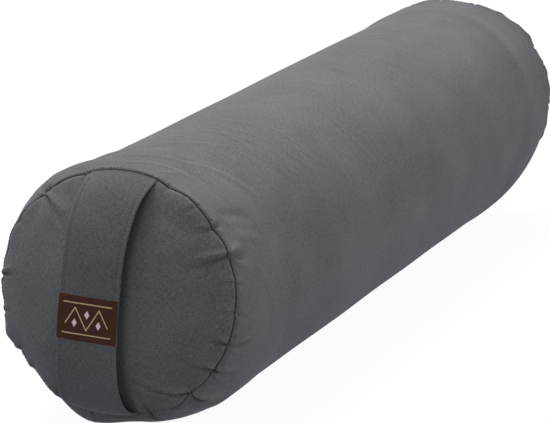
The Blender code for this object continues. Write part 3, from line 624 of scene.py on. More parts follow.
def sewCover():
    cuts = (makeTubeCut(), makePanelCut("coverHandlePanel", handleEnd), makePanelCut("coverFarPanel", farEnd))
    marks = [bpy.data.materials.new("cut" + str(index)) for index in range(len(cuts))]
    for index, piece in enumerate(cuts):
        for mark in marks:
            piece.data.materials.append(mark)
        piece.data.polygons.foreach_set("material_index", [index] * len(piece.data.polygons))
    pickOnly(*cuts)
    bpy.ops.object.join()
    with editing(cuts[0]):
        bpy.ops.mesh.select_all(action="SELECT")
        bpy.ops.mesh.remove_doubles(threshold=0.00002)
        bpy.ops.mesh.normals_make_consistent(inside=False)
    return cuts[0]


filling = {
    "frames": 20,
    "reach": 0.110,                          # how far from a seam the cloth moves
    "heldFrom": 0.6,                         # the share of that from which it is held more and more
    "floorHeld": (0.002, 0.010),             # the cloth on the floor is held up to these heights
    "slotMargin": 0.016, "seamHeld": 0.93,
    "looseTube": 0.060, "loosePanel": 0.080,    # how far from a seam the spare cloth reaches
    "cap": 0.0040,                           # furthest that a point may move
    "ripple": 0.0005, "rippleScale": 90,
    "cloth": {
        "quality": 5, "time_scale": 8.0, "mass": 0.02,
        "tension_stiffness": 3, "compression_stiffness": 3,
        "shear_stiffness": 1.2, "bending_stiffness": 0.0002,
        "tension_damping": 0.1, "compression_damping": 0.1,
        "shear_damping": 0.1, "bending_damping": 0.01,
        "air_damping": 0.5,
        "vertex_group_mass": "held", "vertex_group_shrink": "loose",
        "shrink_min": 0.0, "shrink_max": -0.085,    # spare cloth that the seams gather in
        "use_pressure": True, "uniform_pressure_force": 40.0,
    },
}


def giveWeights(piece, name, weights):
    group = piece.vertex_groups.new(name=name)
    for index in np.nonzero(weights > 0)[0]:
        group.add([int(index)], float(weights[index]), "REPLACE")


def fillCover(piece):
    # The filling presses the cover out, while its seams hold in more cloth than they have room for
    start, reach = getPoints(piece), getNumbers(piece, "reach")
    onTube = reach >= 0
    furthest = filling["reach"]
    held = np.where(onTube, smoothStep(filling["heldFrom"] * furthest, furthest, reach), 0.0)
    held = np.maximum(held, 1 - smoothStep(*filling["floorHeld"], start[:, 2]))
    across = np.abs((start - np.array([0, 0, axisHeight])) @ np.array(zipAcross))
    land = (across < cover["landHalf"] * cover["landFade"]) & (start[:, 1] > 0)
    held[land & (np.abs(start[:, 0]) < cover["slotLength"] / 2 + filling["slotMargin"])] = 1.0
    held[np.abs(reach) < 1e-5] = filling["seamHeld"]
    loose = np.where(onTube, 1 - smoothStep(0.0, filling["looseTube"], reach),
                     1 - smoothStep(0.0, filling["loosePanel"], -reach))
    giveWeights(piece, "held", held)
    giveWeights(piece, "loose", loose)
    ripple = [filling["ripple"] * noise.noise(Vector(point) * filling["rippleScale"]) for point in start]
    setPoints(piece, start + getNormals(piece) * (np.array(ripple) * (1 - held))[:, None])
    cloth = piece.modifiers.new("filling", "CLOTH")
    for key, value in filling["cloth"].items():
        setattr(cloth.settings, key, value)
    cloth.settings.effector_weights.gravity = 0
    cloth.collision_settings.use_collision = False
    for frameNumber in range(1, filling["frames"] + 1):
        bpy.context.scene.frame_set(frameNumber)
    applyModifiers(piece)
    bpy.context.scene.frame_set(1)
    moved = getPoints(piece) - start
    length = np.linalg.norm(moved, axis=1)
    most, usual = length.max() * 1000, np.percentile(length, 50) * 1000
    say(f"cover moved {most:.1f} mm at most, {usual:.1f} mm in most places")
    moved *= (np.minimum(length, filling["cap"]) / np.maximum(length, 1e-9))[:, None]
    setPoints(piece, start + moved)


creases = {
    "deepest": 2.2, "deepestTube": 3.1,      # mm
    "tubeShare": 1.3,                        # how much deeper a fold is on the tube than on the panel
    "valley": 1.15, "widening": 0.09,        # half width in mm at the seam, and its growth per mm from it
    "above": 0.85, "below": 0.40,            # how high the cloth stands on a fold's upper and lower side
    "besideAt": 2.5, "besideWidth": 1.6,     # where it stands up, and how widely, in half widths of the fold
    "shallow": 0.4, "shallowReach": 1.5,     # how much shallower a fold is right at the seam
    "lobe": 1.3, "lobeReach": 15,            # mm that the cloth stands up beside the seam, and how far back
    "lobeStart": 1.1,
    "strapPress": 1.3, "strapHalf": (28, 34), "strapReach": 6,  # where the strap's ends press the panel flat
    "pinch": 0.8, "pinchReach": 0.8,         # mm that the seam is drawn in
    "slow": 0.45, "slowSize": (0.075, 0.06, 0.06),      # the filling's unevenness, in mm high and metres long
    "slowFrom": 0.012,
}


def gatherLift(end, spin, reach):
    # Cloth stands up beside the seam, and folds run from it over the tube and the panel. All in mm.
    onTube = reach >= 0
    away = np.abs(reach) / millimetre
    arc = math.radians(1) * bolster["seamWidth"] / 2 / millimetre
    lift = creases["lobe"] * (1 - np.exp(-away / creases["lobeStart"])) * np.exp(-away / creases["lobeReach"])
    if end is handleEnd:
        fromStrap = np.abs((spin + 90) % 180 - 90) * arc
        pressed = creases["strapPress"] * ~onTube * (1 - smoothStep(*creases["strapHalf"], fromStrap))
        lift -= pressed * np.exp(-away / creases["strapReach"])
    lift -= creases["pinch"] * np.exp(-away / creases["pinchReach"])
    width = creases["valley"] + creases["widening"] * away
    for degrees, depth, tubeLength, tubeSlant, panelLength, panelSlant in end["folds"]:
        length = np.where(onTube, tubeLength, panelLength)
        off = wrapDegrees(spin - degrees) - away * np.where(onTube, tubeSlant, panelSlant)
        off *= arc if degrees > 0 else -arc  # positive is downwards
        fade = np.exp(-(away / length) ** 3)
        fade *= 1 - creases["shallow"] * np.exp(-away / creases["shallowReach"])
        fade *= depth * np.where(onTube, creases["tubeShare"], 1.0)
        lift -= fade * np.exp(-(off / width) ** 2)
        for side, share in ((-1, creases["above"]), (1, creases["below"])):
            beside = (off - side * creases["besideAt"] * width) / (creases["besideWidth"] * width)
            lift += share * fade * np.exp(-beside ** 2)
    return lift


# Long soft folds on the tube: start and end as (angle in degrees, mm behind the handle's seam), height in mm,
# half width in mm. They run where the cloth is dragged over the end of the filling.
longFolds = (
    ((18, 20), (-22, 42), 1.70, 2.3), ((-14, 37), (-46, 74), 1.20, 3.0), ((24, 30), (-20, 102), 1.10, 3.0),
    ((14, 15), (-36, 30), -0.90, 4.0), ((26, 46), (-2, 84), 0.80, 3.0), ((-45, 14), (-52, 46), -1.50, 5.0),
    ((-55, 12), (-61, 44), 1.00, 4.5), ((-70, 30), (-104, 60), 0.70, 5.0),
    ((-20, 110), (-62, 150), 0.70, 6.0), ((-50, 190), (-80, 270), 0.30, 8.0),
    ((10, 150), (-28, 200), 0.36, 7.0), ((-8, 300), (-45, 380), 0.30, 9.0), ((50, 30), (95, 24), 0.45, 3.0),
    ((120, 30), (160, 26), 0.4, 4.0), ((-110, 60), (-140, 46), 0.35, 5.0),
    ((24, 635), (-58, 643), 0.70, 1.9), ((-66, 645), (-114, 655), 1.00, 1.9),
    ((60, 640), (110, 632), 0.60, 4.0), ((-95, 330), (-120, 460), 0.25, 9.0),
    ((100, 180), (128, 300), 0.25, 9.0), ((95, 420), (120, 520), 0.25, 8.0),
)


# The same on the handle's end panel: start and end as (y, z) in mm from its middle
panelFolds = (
    ((-26, 70), (-66, 58), -1.6, 8), ((-30, 86), (-76, 62), 1.0, 6), ((-40, 40), (-90, 46), 0.9, 9),
    ((-60, 14), (-98, 24), 0.8, 8), ((-38, -84), (-84, -58), -1.2, 6), ((32, 72), (64, 82), -1.0, 6),
    ((58, 60), (94, 6), 0.8, 11), ((-60, -20), (-96, -30), 0.7, 8), ((-62, -2), (-98, -6), -0.6, 6),
    ((40, -50), (84, -30), 0.6, 10), ((36, 20), (60, -60), 0.7, 14), ((-40, -20), (-60, -76), 0.6, 14),
)


foldShape = {
    "trough": 0.4, "troughWidth": 2.2,       # shares of the ridge's height and width
    "fadeIn": (-0.15, 0.25), "fadeOut": (0.75, 1.15),       # shares of the line, past its ends too
    "tubeBow": 0.05, "panelBow": 0.08,
}


def foldProfile(places, start, stop, height, halfWidth, bowShare):
    # A ridge along a slightly bowed line, with a shallow trough on both sides
    start, line = np.array(start), np.array(stop) - np.array(start)
    length = np.linalg.norm(line)
    offset = places - start
    along = offset @ line / length ** 2
    across = (offset[:, 0] * line[1] - offset[:, 1] * line[0]) / length
    across = across - bowShare * length * (along - along ** 2) * 4
    trough = foldShape["trough"] * np.exp(-(across / (foldShape["troughWidth"] * halfWidth)) ** 2)
    profile = np.exp(-(across / halfWidth) ** 2) - trough
    fade = smoothStep(*foldShape["fadeIn"], along), 1 - smoothStep(*foldShape["fadeOut"], along)
    return height * profile * fade[0] * fade[1]


def foldLift(spin, behind):
    # Height in mm of the long folds, on the tube laid out flat
    arc = math.radians(1) * bolster["radius"] / millimetre
    places = np.stack([wrapDegrees(spin) * arc, behind], -1)
    lift = np.zeros(len(spin))
    for (startAngle, startBack), (endAngle, endBack), height, halfWidth in longFolds:
        ends = (startAngle * arc, startBack), (endAngle * arc, endBack)
        lift += foldProfile(places, *ends, height, halfWidth, foldShape["tubeBow"])
    return lift


def panelLift(points):
    middle = np.array((handleEnd["shift"], axisHeight + handleEnd["rise"]))
    places = (points[:, 1:] - middle) / millimetre
    return sum(foldProfile(places, *fold, foldShape["panelBow"]) for fold in panelFolds)


def slowLift(points):
    sized = points / np.array(creases["slowSize"])
    return np.array([creases["slow"] * noise.noise(Vector(point)) for point in sized])


def sculptCover(piece):
    points, normals = getPoints(piece), getNormals(piece)
    spin, reach = getSpin(piece), getNumbers(piece, "reach")
    lift = np.zeros(len(points))
    for end in (handleEnd, farEnd):
        mine = points[:, 0] * end["side"] > 0
        lift[mine] += gatherLift(end, spin[mine], reach[mine])
    onTube, onPanel = reach > 0, (reach < 0) & (points[:, 0] < 0)
    seamX = -bolster["length"] / 2 + handleEnd["lean"] * (points[:, 2] - axisHeight)
    seamX += handleEnd["turn"] * points[:, 1]
    lift[onTube] += foldLift(spin[onTube], (points[onTube, 0] - seamX[onTube]) / millimetre)
    lift[onPanel] += panelLift(points[onPanel])
    lift += slowLift(points) * smoothStep(0.0, creases["slowFrom"], np.abs(reach))
    deepest = np.where(onTube, creases["deepestTube"], creases["deepest"])
    lift = np.where(lift < 0, deepest * np.tanh(lift / deepest), lift)
    points += normals * (lift * millimetre)[:, None]
    setPoints(piece, flattenLand(points))


def splitCover(piece):
    # Back into its three cuts, by the mark that each face carries
    with editing(piece):
        bpy.ops.mesh.separate(type="MATERIAL")
    found = {}
    for part in bpy.context.selected_objects:
        mark, marks = part.data.polygons[0].material_index, part.data.materials
        found[marks[mark if mark < len(marks) else 0].name] = part
    parts = [found["cut" + str(index)] for index in range(3)]
    for part in parts:                       # frees the names
        part.name = "cutPart"
    for part, name in zip(parts, ("coverTube", "coverHandlePanel", "coverFarPanel")):
        part.name = name
        giveMaterial(part, tubeCanvas if name == "coverTube" else canvas)
        part.vertex_groups.clear()
    return parts


seam = {
    # How a lip turns down into the seam and its allowance back under: mm sideways from the seam, mm inward.
    # The thread presses the two lips into each other, so the seam is closed there.
    "lip": ((0.30, 0.06), (0.44, 0.35), (0.36, 0.90), (0.06, 1.50), (-0.04, 2.30), (0.60, 4.00),
            (2.40, 5.20)),
}


def seamDirections(points):
    # Into the valley, and across it towards the tube, at each point of a seam
    inward, sideways = [], []
    for x, y, z in points:
        end = handleEnd if x < 0 else farEnd
        radial = Vector((0, y - end["shift"], z - axisHeight - end["rise"])).normalized()
        axial = Vector((-end["side"], 0, 0))
        inward.append((axial - radial).normalized())
        sideways.append((axial + radial).normalized())
    return np.array(inward), np.array(sideways)


def turnIn(piece, towardsTube):
    with editing(piece):
        bpy.ops.mesh.select_mode(type="EDGE")
        bpy.ops.mesh.select_all(action="DESELECT")
        selectRim()
    chosen = np.array([vertex.select for vertex in piece.data.vertices])
    rim = previous = getPoints(piece)[chosen]
    inward, sideways = seamDirections(rim)
    sideways *= 1 if towardsTube else -1
    for step, (aside, down) in enumerate(seam["lip"]):
        if step:
            with editing(piece):
                bpy.ops.mesh.extrude_edges_move()
        chosen = np.array([vertex.select for vertex in piece.data.vertices])
        points = getPoints(piece)
        places = matchRim(points[chosen], previous)
        previous = rim + sideways * aside * millimetre + inward * down * millimetre
        points[chosen] = previous[places]
        setPoints(piece, points)


def matchRim(points, rim):
    # Which point of the rim each point stands on
    order = np.lexsort(np.round(rim, 7).T)
    own = np.lexsort(np.round(points, 7).T)
    places = np.zeros(len(points), int)
    places[own] = order
    return places


def cutSlot(tube):
    # The opening for the zip, with its edge turned down to the tape
    points, spin = getPoints(tube), getSpin(tube)
    low, high = (cover["zipAngle"] + sign * slotEdge for sign in (-1, 1))
    spareDegrees, spareLength = cover["slotSpare"]
    within = (spin > low - spareDegrees) & (spin < high + spareDegrees)
    within &= np.abs(points[:, 0]) < cover["slotLength"] / 2 + spareLength
    with editing(tube):
        bpy.ops.mesh.select_mode(type="FACE")
        bpy.ops.mesh.select_all(action="DESELECT")
    doomed = 0
    for polygon in tube.data.polygons:
        polygon.select = all(within[index] for index in polygon.vertices)
        doomed += polygon.select
    with editing(tube):
        bpy.ops.mesh.delete(type="FACE")
        bpy.ops.mesh.select_mode(type="EDGE")
        selectRim()
    # Only the slot's own edge, not the ends of the seam allowances
    limit = cover["slotLength"] / 2 + cover["slotRim"]
    for edge in tube.data.edges:
        if edge.select and any(abs(tube.data.vertices[index].co.x) > limit for index in edge.vertices):
            edge.select = False
    for vertex in tube.data.vertices:
        if abs(vertex.co.x) > limit:
            vertex.select = False
    with editing(tube):
        for down in cover["slotTurn"]:
            bpy.ops.mesh.extrude_edges_move(TRANSFORM_OT_translate={"value": -zipOut * down * millimetre})
    say(f"zip slot cut through {doomed} faces")


def roundOff(piece):
    rounded = piece.modifiers.new("rounded", "SUBSURF")
    rounded.levels = rounded.render_levels = 1
    applyModifiers(piece)


def finishCloth(piece, material):
    giveMaterial(piece, material)
    roundOff(piece)
    smoothShade(piece)


def makeCover():
    sewn = sewCover()
    say(f"cover sewn from {len(sewn.data.vertices)} points")
    fillCover(sewn)
    roundOff(sewn)
    sculptCover(sewn)
    tube, handlePanel, farPanel = splitCover(sewn)
    for piece in (tube, handlePanel, farPanel):
        turnIn(piece, piece is tube)
    cutSlot(tube)
    for piece, node in ((tube, "tube_panel"), (handlePanel, "handle_end_panel"), (farPanel, "far_end_panel")):
        smoothShade(piece)
        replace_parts(piece, node)
        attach(piece, "root")
    return tube


coverTube = makeCover()
say("cover filled and creased")

# Strap: the same canvas, folded to a band, top-stitched along both edges
strap = {
    "width": 0.053, "endWidth": 0.058, "thickness": 0.0024, "wallShare": 0.85,
    "standoff": 0.040, "round": 3.0, "fall": 0.625, "fit": 6, "flare": 3,
    "halfHeight": 0.0971, "panelHalf": 0.104,
    # Its columns, by their distance from an edge
    "edges": (0.0, 0.0005, 0.0013, 0.0026, 0.0040, 0.0055, 0.0080, 0.0120, 0.0175, 0.0225), "rows": 34,
    # The seam presses its ends flat, from this share of its height
    "heldFrom": 0.90, "clear": 0.0003, "pressed": 0.0004, "heldThin": 0.4,
    "puff": 0.00022, "puffFrom": 0.004, "puffReach": 0.006,
    "stitchLine": 0.0040, "dip": 0.00060, "dipHalf": 0.0009,
    "edgeDrop": 0.00045, "edgeReach": 0.0006,
    "bank": 0.00030, "bankAt": 0.0017, "bankHalf": 0.0010,      # stands up between its edge and the stitches
    "wave": 0.0006, "waveWidth": 0.03, "waveRate": 3.5,
    "gripTop": 0.204, "gripBottom": -0.367,
    "meet": -0.08, "ends": 1.012,            # its two halves meet under the label
    "blendFrom": 0.97, "stitchedTo": 0.965,
}


def strapPoint(share, across, lift=0.0):
    # Share runs from -1 at the bottom seam to 1 at the top seam
    halfHeight = strap["halfHeight"]
    offset = (across - handleEnd["shift"]) / strap["panelHalf"]
    seamDrop = halfHeight * (1 - math.sqrt(1 - offset ** 2))
    height = share * halfHeight - math.copysign(share ** strap["fit"] * seamDrop, share)
    bow = (1 - min(1.0, abs(share)) ** strap["round"]) ** strap["fall"]
    held = smoothStep(strap["heldFrom"], 1.0, abs(share))
    outward = strap["clear"] - strap["pressed"] * held + strap["standoff"] * bow
    outward += lift * (1 - strap["heldThin"] * held)
    return placeOut(handleEnd, outward, Vector((across, handleEnd["rise"] + height)))


def strapWidth(share):
    return strap["width"] + (strap["endWidth"] - strap["width"]) * abs(share) ** strap["flare"]


def strapRows(low, high, count):
    def turning(share):
        return math.copysign(math.asin(min(1.0, abs(share)) ** (strap["round"] / 2)), share)

    start, stop = turning(low), turning(high)
    angles = [start + (stop - start) * step / count for step in range(count + 1)]
    shares = [math.copysign(abs(math.sin(angle)) ** (2 / strap["round"]), angle) for angle in angles]
    return [low] + shares[1:-1] + [high]


def strapLift(edge, share, across):
    # Front of the band over its middle surface: soft edges, and a dip along the stitches
    puff = strap["puff"] * (1 - math.exp(-max(0.0, edge - strap["puffFrom"]) / strap["puffReach"]))
    dip = strap["dip"] * math.exp(-((edge - strap["stitchLine"]) / strap["dipHalf"]) ** 2)
    bank = strap["bank"] * math.exp(-((edge - strap["bankAt"]) / strap["bankHalf"]) ** 2)
    soft = strap["edgeDrop"] * math.exp(-edge / strap["edgeReach"]) - bank
    wave = noise.noise(Vector((across / strap["waveWidth"], share * strap["waveRate"], 5.0)))
    return strap["thickness"] / 2 + puff - dip - soft + strap["wave"] * wave * (1 - share ** 4)


def makeStrapHalf(name, low, high, nodes):
    rows = strapRows(low, high, strap["rows"])
    band = layCloth(name, 2 * len(strap["edges"]), strap["rows"])
    points, places = [], []
    along = 0.0
    for row, share in enumerate(rows):
        half = strapWidth(share) / 2
        left = [-half + inset for inset in strap["edges"]]
        if row:
            along += (strapPoint(share, 0) - strapPoint(rows[row - 1], 0)).length
        for across in left + [0.0] + [-across for across in reversed(left)]:
            points.append(strapPoint(share, across, strapLift(half - abs(across), share, across)))
            places.append((across, along))
    setPoints(band, points)
    setCut(band, places)
    with editing(band):
        bpy.ops.mesh.select_all(action="SELECT")
        bpy.ops.mesh.normals_make_consistent(inside=False)
    thicken(band, strap["thickness"] * strap["wallShare"], Vector((-1, 0, 0)))
    applyModifiers(band)
    finishCloth(band, strapCanvas)
    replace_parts(band, *nodes)
    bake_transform(band)


upperBlend = {"start": strapPoint(strap["blendFrom"], 0), "end": strapPoint(strap["gripTop"], 0)}
lowerBlend = {"start": strapPoint(-strap["blendFrom"], 0), "end": strapPoint(strap["gripBottom"], 0)}
makeStrapHalf("strapUpper", strap["meet"], strap["ends"], ("strap_upper_run", "strap_grip"))
makeStrapHalf("strapLower", -strap["ends"], strap["meet"], ("strap_lower_run",))
say("strap folded and bowed")

labelCentre = -label["drop"] / strap["halfHeight"]


def labelLift(share, across):
    return strapLift(strapWidth(share) / 2 - abs(across), share, across) + label["thickness"]


def makeLabel():
    columns, rows = label["columns"], label["rows"]
    piece = layCloth("wovenLabel", columns, rows)
    points, places = [], []
    for row in range(rows + 1):
        v = row / rows * 2 - 1
        share = labelCentre + v * (label["height"] / 2 / strap["halfHeight"])
        for column in range(columns + 1):
            u = column / columns * 2 - 1
            across = u * label["width"] / 2
            held = max(abs(v), abs(u)) ** 10
            points.append(strapPoint(share, across, labelLift(share, across) + label["puff"] * (1 - held)))
            places.append((-across, v * label["height"] / 2))
    setPoints(piece, points)
    setCut(piece, places)
    thicken(piece, label["thickness"], Vector((-1, 0, 0)))
    bevel = piece.modifiers.new("edge", "BEVEL")
    bevel.width = label["edgeRound"]
    bevel.limit_method = "ANGLE"
    applyModifiers(piece)
    finishCloth(piece, labelWeave)
    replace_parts(piece, "woven_label")
    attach(piece, "strap_handle")


makeLabel()
say("label sewn on")

stitch = {
    "pitch": 0.0031, "length": 0.0021, "radius": 0.00024, "sunk": 0.00008,
    "strapShare": 1.35,                      # how much thicker the strap's thread is
    "taper": 0.35, "dive": 1.6, "narrow": 0.4,
    "seamInset": 0.0034, "seamSearch": (0.0006, 0.012),
    "labelGap": 0.0008, "labelInset": (0.0015, 0.0014), "labelRise": 0.0001,
    "zipInset": 0.0028, "zipOverrun": 0.003,
}


def makeStitch(radius):
    # One stitch: a short length of thread whose ends dive into the cloth
    deselectAll()
    bpy.ops.mesh.primitive_cylinder_add(vertices=6, radius=radius, depth=stitch["length"],
                                        end_fill_type="NOTHING", rotation=(0, math.pi / 2, 0))
    piece = bpy.context.object
    bpy.ops.object.transform_apply(rotation=True)
    with editing(piece):
        bpy.ops.mesh.select_all(action="SELECT")
        bpy.ops.mesh.subdivide(number_cuts=1)
    for vertex in piece.data.vertices:
        share = abs(vertex.co.x) / (stitch["length"] / 2)
        vertex.co.z = vertex.co.z * (1 - stitch["taper"] * share ** 2) - stitch["dive"] * radius * share ** 3
        vertex.co.y *= 1 - stitch["narrow"] * share ** 3
    return piece


def joinCopies(name, pattern, copies, material, slotName, body="root", blend=None):
    # The pattern piece repeated at each place and joined into one piece
    for index, points in enumerate(copies):
        copy = pattern.copy()
        copy.data = pattern.data.copy()
        copy.name = f"{name}{index}"
        bpy.context.scene.collection.objects.link(copy)
        setPoints(copy, points)
        copies[index] = copy
    bpy.data.objects.remove(pattern)
    pickOnly(*copies)
    bpy.ops.object.join()
    piece = copies[0]
    piece.name = name
    giveMaterial(piece, material)
    smoothShade(piece, 70)
    if blend:
        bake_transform(piece)
    else:
        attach(piece, body)
    return piece


def sampleAt(distances, values, distance):
    return np.array([np.interp(distance, distances, values[:, axis]) for axis in range(3)])


def runStitches(name, path, normals, material=threadAndHoleShade, slotName="cover_cloth", **carrier):
    # Stitches end to end along a path of points, each lying on the cloth
    path, normals = np.array(path, float), np.array(normals, float)
    steps = np.linalg.norm(np.diff(path, axis=0), axis=1)
    travelled = np.concatenate([[0], np.cumsum(steps)])
    count = int(travelled[-1] / stitch["pitch"])
    radius = stitch["radius"] * (stitch["strapShare"] if slotName == "strap_cloth" else 1)
    pattern = makeStitch(radius)
    shape = getPoints(pattern)
    copies = []
    for number in range(count):
        middle = (number + 0.5) * travelled[-1] / count
        start = sampleAt(travelled, path, middle - stitch["length"] / 2)
        stop = sampleAt(travelled, path, middle + stitch["length"] / 2)
        along = Vector(stop - start).normalized()
        up = Vector(sampleAt(travelled, normals, middle))
        up = (up - along * up.dot(along)).normalized()
        turn = np.array((along, up.cross(along), up))
        centre = (start + stop) / 2 + np.array(up) * (radius - stitch["sunk"])
        copies.append(shape @ turn + centre)
    joinCopies(name, pattern, copies, material, slotName, **carrier)


def seamPath(tube, end, back):
    # Points on the finished tube at a distance behind the seam, all round
    points, normals = getPoints(tube), getNormals(tube)
    spin, reach = getSpin(tube), getNumbers(tube, "reach")
    nearest, furthest = stitch["seamSearch"]
    mine = (points[:, 0] * end["side"] > 0) & (reach < furthest) & (reach > nearest)
    path, outs = [], []
    for degrees in np.arange(0, 360, 2 * columnStep):
        chosen = np.nonzero(mine & (np.abs(wrapDegrees(spin - degrees)) < columnStep / 4))[0]
        if len(chosen) < 3:
            continue
        order = chosen[np.argsort(reach[chosen])]
        path.append(sampleAt(reach[order], points[order], back))
        outs.append(sampleAt(reach[order], normals[order], back))
    return path + path[:1], outs + outs[:1]


def strapPath(low, high, side):
    path, outs = [], []
    shareStep, acrossStep = 0.01, 0.001      # to the points that give the cloth's direction
    for share in np.linspace(low, high, 90):
        across = side * (strapWidth(share) / 2 - strap["stitchLine"])
        lift = strapLift(strap["stitchLine"], share, across)
        here = strapPoint(share, across, lift)
        ahead = strapPoint(share + shareStep, across, lift) - here
        beside = strapPoint(share, across + acrossStep, lift) - here
        out = ahead.cross(beside).normalized()
        path.append(here)
        outs.append(out if out.x < 0 else -out)
    return path, outs


def labelPath(sign):
    insetAcross, insetUp = stitch["labelInset"]
    share = labelCentre + sign * (label["height"] / 2 - insetUp) / strap["halfHeight"]
    acrosses = np.linspace(-label["width"] / 2 + insetAcross, label["width"] / 2 - insetAcross, 40)
    path = [strapPoint(share, across, labelLift(share, across) + stitch["labelRise"]) for across in acrosses]
    return path, [(-1, 0, 0)] * len(path)


for name, end in (("seamStitchesHandle", handleEnd), ("seamStitchesFar", farEnd)):
    runStitches(name, *seamPath(coverTube, end, stitch["seamInset"]))
labelReach = (label["height"] / 2 + stitch["labelGap"]) / strap["halfHeight"]
for name, low, high, blend in (
        ("strapStitchesUpper", labelCentre + labelReach, strap["stitchedTo"], upperBlend),
        ("strapStitchesLower", -strap["stitchedTo"], labelCentre - labelReach, lowerBlend)):
    for side, sideName in ((-1, "PlainSide"), (1, "ZipSide")):
        runStitches(name + sideName, *strapPath(low, high, side), slotName="strap_cloth", blend=blend)
for name, sign in (("labelStitchesTop", 1), ("labelStitchesBottom", -1)):
    runStitches(name, *labelPath(sign), material=labelWeave, slotName="label_cloth", body="strap_handle")
say("stitches run")


# Zip
def zipPlace(along, across, height):
    return Vector((along, 0, axisHeight)) + zipAcross * across + zipOut * (zipPlane + height)


zipParts = {
    "pitch": 0.0015, "toothLength": 0.0031, "toothWidth": 0.0011, "toothRound": 0.0005,
    "low": -0.0008, "high": 0.0012, "reach": 0.2467, "middle": 0.00157,
    "braid": -0.00085, "braidHalf": 0.0013, "braidThickness": 0.0002, "braidRows": 120,
}


def makeZipTeeth(name, sign, node):
    # Each row of the coil shows as short round bars, one per turn, the two rows half a pitch apart
    deselectAll()
    bpy.ops.mesh.primitive_cube_add(size=1)
    pattern = bpy.context.object
    pattern.scale = (zipParts["toothWidth"], zipParts["toothLength"], zipParts["high"] - zipParts["low"])
    bpy.ops.object.transform_apply(scale=True)
    bevel = pattern.modifiers.new("round", "BEVEL")
    bevel.width = zipParts["toothRound"]
    bevel.segments = 2
    applyModifiers(pattern)
    shape = getPoints(pattern) @ np.array(((1, 0, 0), zipAcross, zipOut))
    centre = (zipParts["low"] + zipParts["high"]) / 2
    shift = zipParts["pitch"] / 2 if sign > 0 else 0.0
    copies = []
    for number in range(int(2 * zipParts["reach"] / zipParts["pitch"])):
        along = -zipParts["reach"] + zipParts["toothWidth"] / 2 + number * zipParts["pitch"] + shift
        copies.append(shape + np.array(zipPlace(along, sign * zipParts["middle"], centre)))
    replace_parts(joinCopies(name, pattern, copies, nylon, "zip_coil"), node)


def makeZipBraid():
    # The closed edge of the tapes, which shows between the teeth and past the stops
    rows, half = zipParts["braidRows"], zipParts["braidHalf"]
    braid = layCloth("zipBraid", 2, rows)
    reach = cover["slotLength"] / 2
    alongs = [-reach + 2 * reach * row / rows for row in range(rows + 1)]
    places = [(across, along) for along in alongs for across in (-half, 0.0, half)]
    setPoints(braid, [zipPlace(along, across, zipParts["braid"]) for across, along in places])
    setCut(braid, places)
    thicken(braid, zipParts["braidThickness"], Vector((0, 1, 0)))
    applyModifiers(braid)
    giveMaterial(braid, zipTapeCloth)
    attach(braid, "root")


makeZipTeeth("zipTeethUpper", -1, "zip_coil_upper")
makeZipTeeth("zipTeethLower", 1, "zip_coil_lower")
makeZipBraid()
for sign, name in ((-1, "zipStitchesUpper"), (1, "zipStitchesLower")):
    across = sign * (cover["slotWidth"] / 2 + stitch["zipInset"])
    reach = cover["slotLength"] / 2 + stitch["zipOverrun"]
    path = [zipPlace(x, across, 0.0) for x in np.linspace(-reach, reach, 60)]
    runStitches(name, path, [zipOut] * len(path))
say("zip made")


# What the cover hides, and the zip's own castings and tapes, keep their solids and get their finish
def dress(material, *nodes):
    for node in nodes:
        giveMaterial(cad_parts[node], material)


dress(zipTapeCloth, "zip_tape_upper", "zip_tape_lower")
dress(calico, "inner_tube_panel", "inner_handle_end_panel", "inner_far_end_panel", "inner_zip_tape_upper",
      "inner_zip_tape_lower")
dress(nylon, "inner_zip_coil_upper", "inner_zip_coil_lower")
dress(gunmetal, "zip_slider", "zip_pull", "zip_top_stop_upper", "zip_top_stop_lower", "zip_bottom_stop",
      "inner_zip_slider", "inner_zip_top_stop_upper", "inner_zip_top_stop_lower", "inner_zip_bottom_stop")
dress(hulls, "hull_filling")

# Floor, light and camera
studio = {"floorSize": 12, "floor": "#878e9b", "shadowed": "#5e5e60", "glow": 0.94, "world": 0.32}
white = (1, 1, 1, 1)


def mixForView(tree, lighting, seenAs, output):
    # The camera and mirrors see one shader, and the other one lights the part
    rays = addNode(tree, "LightPath")
    kinds = rays.outputs["Is Camera Ray"], rays.outputs["Is Glossy Ray"]
    seen = addNode(tree, "Math", kinds, operation="MAXIMUM")
    mixed = addNode(tree, "MixShader", (seen, lighting, seenAs))
    tree.links.new(mixed.outputs[0], tree.nodes[output].inputs[0])


def makeFloor():
    deselectAll()
    bpy.ops.mesh.primitive_plane_add(size=studio["floorSize"])
    floor = bpy.context.object
    floor.name = "studioFloor"
    material, tree, shader = startMaterial("paleFloor", 0.9)
    shader.inputs["Base Color"].default_value = linearColour(studio["floor"])
    # What the camera sees is nearly white by itself, and takes only a faint shadow
    faint = addNode(tree, "BsdfDiffuse", {"Color": linearColour(studio["shadowed"])})
    glow = addNode(tree, "Emission", {"Color": white, "Strength": studio["glow"]})
    both = addNode(tree, "AddShader", (faint, glow))
    mixForView(tree, shader, both, "Material Output")
    floor.data.materials.append(material)


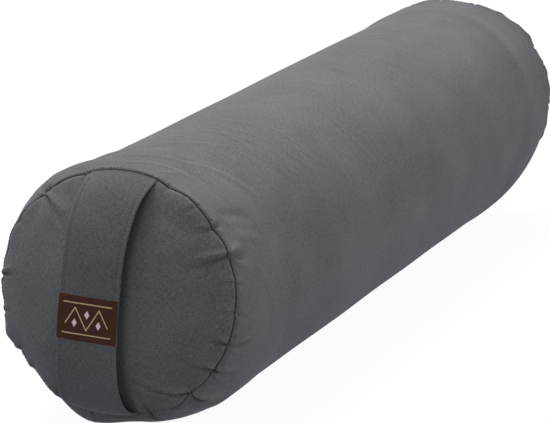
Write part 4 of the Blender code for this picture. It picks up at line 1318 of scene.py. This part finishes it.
def makeWorld():
    world = bpy.data.worlds.new("studio")
    bpy.context.scene.world = world
    world.use_nodes = True
    lit = world.node_tree.nodes["Background"]
    lit.inputs["Color"].default_value = white
    lit.inputs["Strength"].default_value = studio["world"]
    plain = addNode(world.node_tree, "Background", {"Color": white, "Strength": 1.0})
    mixForView(world.node_tree, lit, plain, "World Output")


def addSoftbox(name, place, aim, size, power):
    light = bpy.data.objects.new(name, bpy.data.lights.new(name, "AREA"))
    bpy.context.scene.collection.objects.link(light)
    light.data.shape = "RECTANGLE"
    light.data.size, light.data.size_y = size
    light.data.energy = power
    light.location = place
    light.rotation_euler = (Vector(aim) - Vector(place)).to_track_quat("-Z", "Y").to_euler()


view = {"place": (-1.7613, -0.8963, 0.7547), "yaw": 0.4834, "pitch": 0.3247, "roll": 0.0014, "lens": 147.36}


def placeCamera():
    pitch, yaw, roll = view["pitch"], view["yaw"], view["roll"]
    look = Vector((math.cos(pitch) * math.cos(yaw), math.cos(pitch) * math.sin(yaw), -math.sin(pitch)))
    right = look.cross(Vector((0, 0, 1))).normalized()
    up = right.cross(look)
    turnedRight = right * math.cos(roll) + up * math.sin(roll)
    turnedUp = up * math.cos(roll) - right * math.sin(roll)
    camera = bpy.data.objects.new("camera", bpy.data.cameras.new("camera"))
    bpy.context.scene.collection.objects.link(camera)
    turn = Matrix((turnedRight, turnedUp, -look)).transposed().to_4x4()
    camera.matrix_world = Matrix.Translation(view["place"]) @ turn
    camera.data.lens = view["lens"]
    camera.data.sensor_width = 36
    bpy.context.scene.camera = camera


makeFloor()
makeWorld()
addSoftbox("topSoftbox", (0.1, 0.6, 1.6), (0.0, 0.0, 0.1), (1.4, 1.0), 24.5)
addSoftbox("sideSoftbox", (0.7, -2.1, 0.34), (0.0, 0.0, 0.1), (1.4, 0.64), 14.5)
addSoftbox("frontSoftbox", (-3.1, -0.3, 1.3), (-0.3, 0.0, 0.1), (1.1, 1.1), 13.0)
placeCamera()
bpy.context.scene.view_settings.view_transform = "Standard"

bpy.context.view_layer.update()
say("all pieces placed")
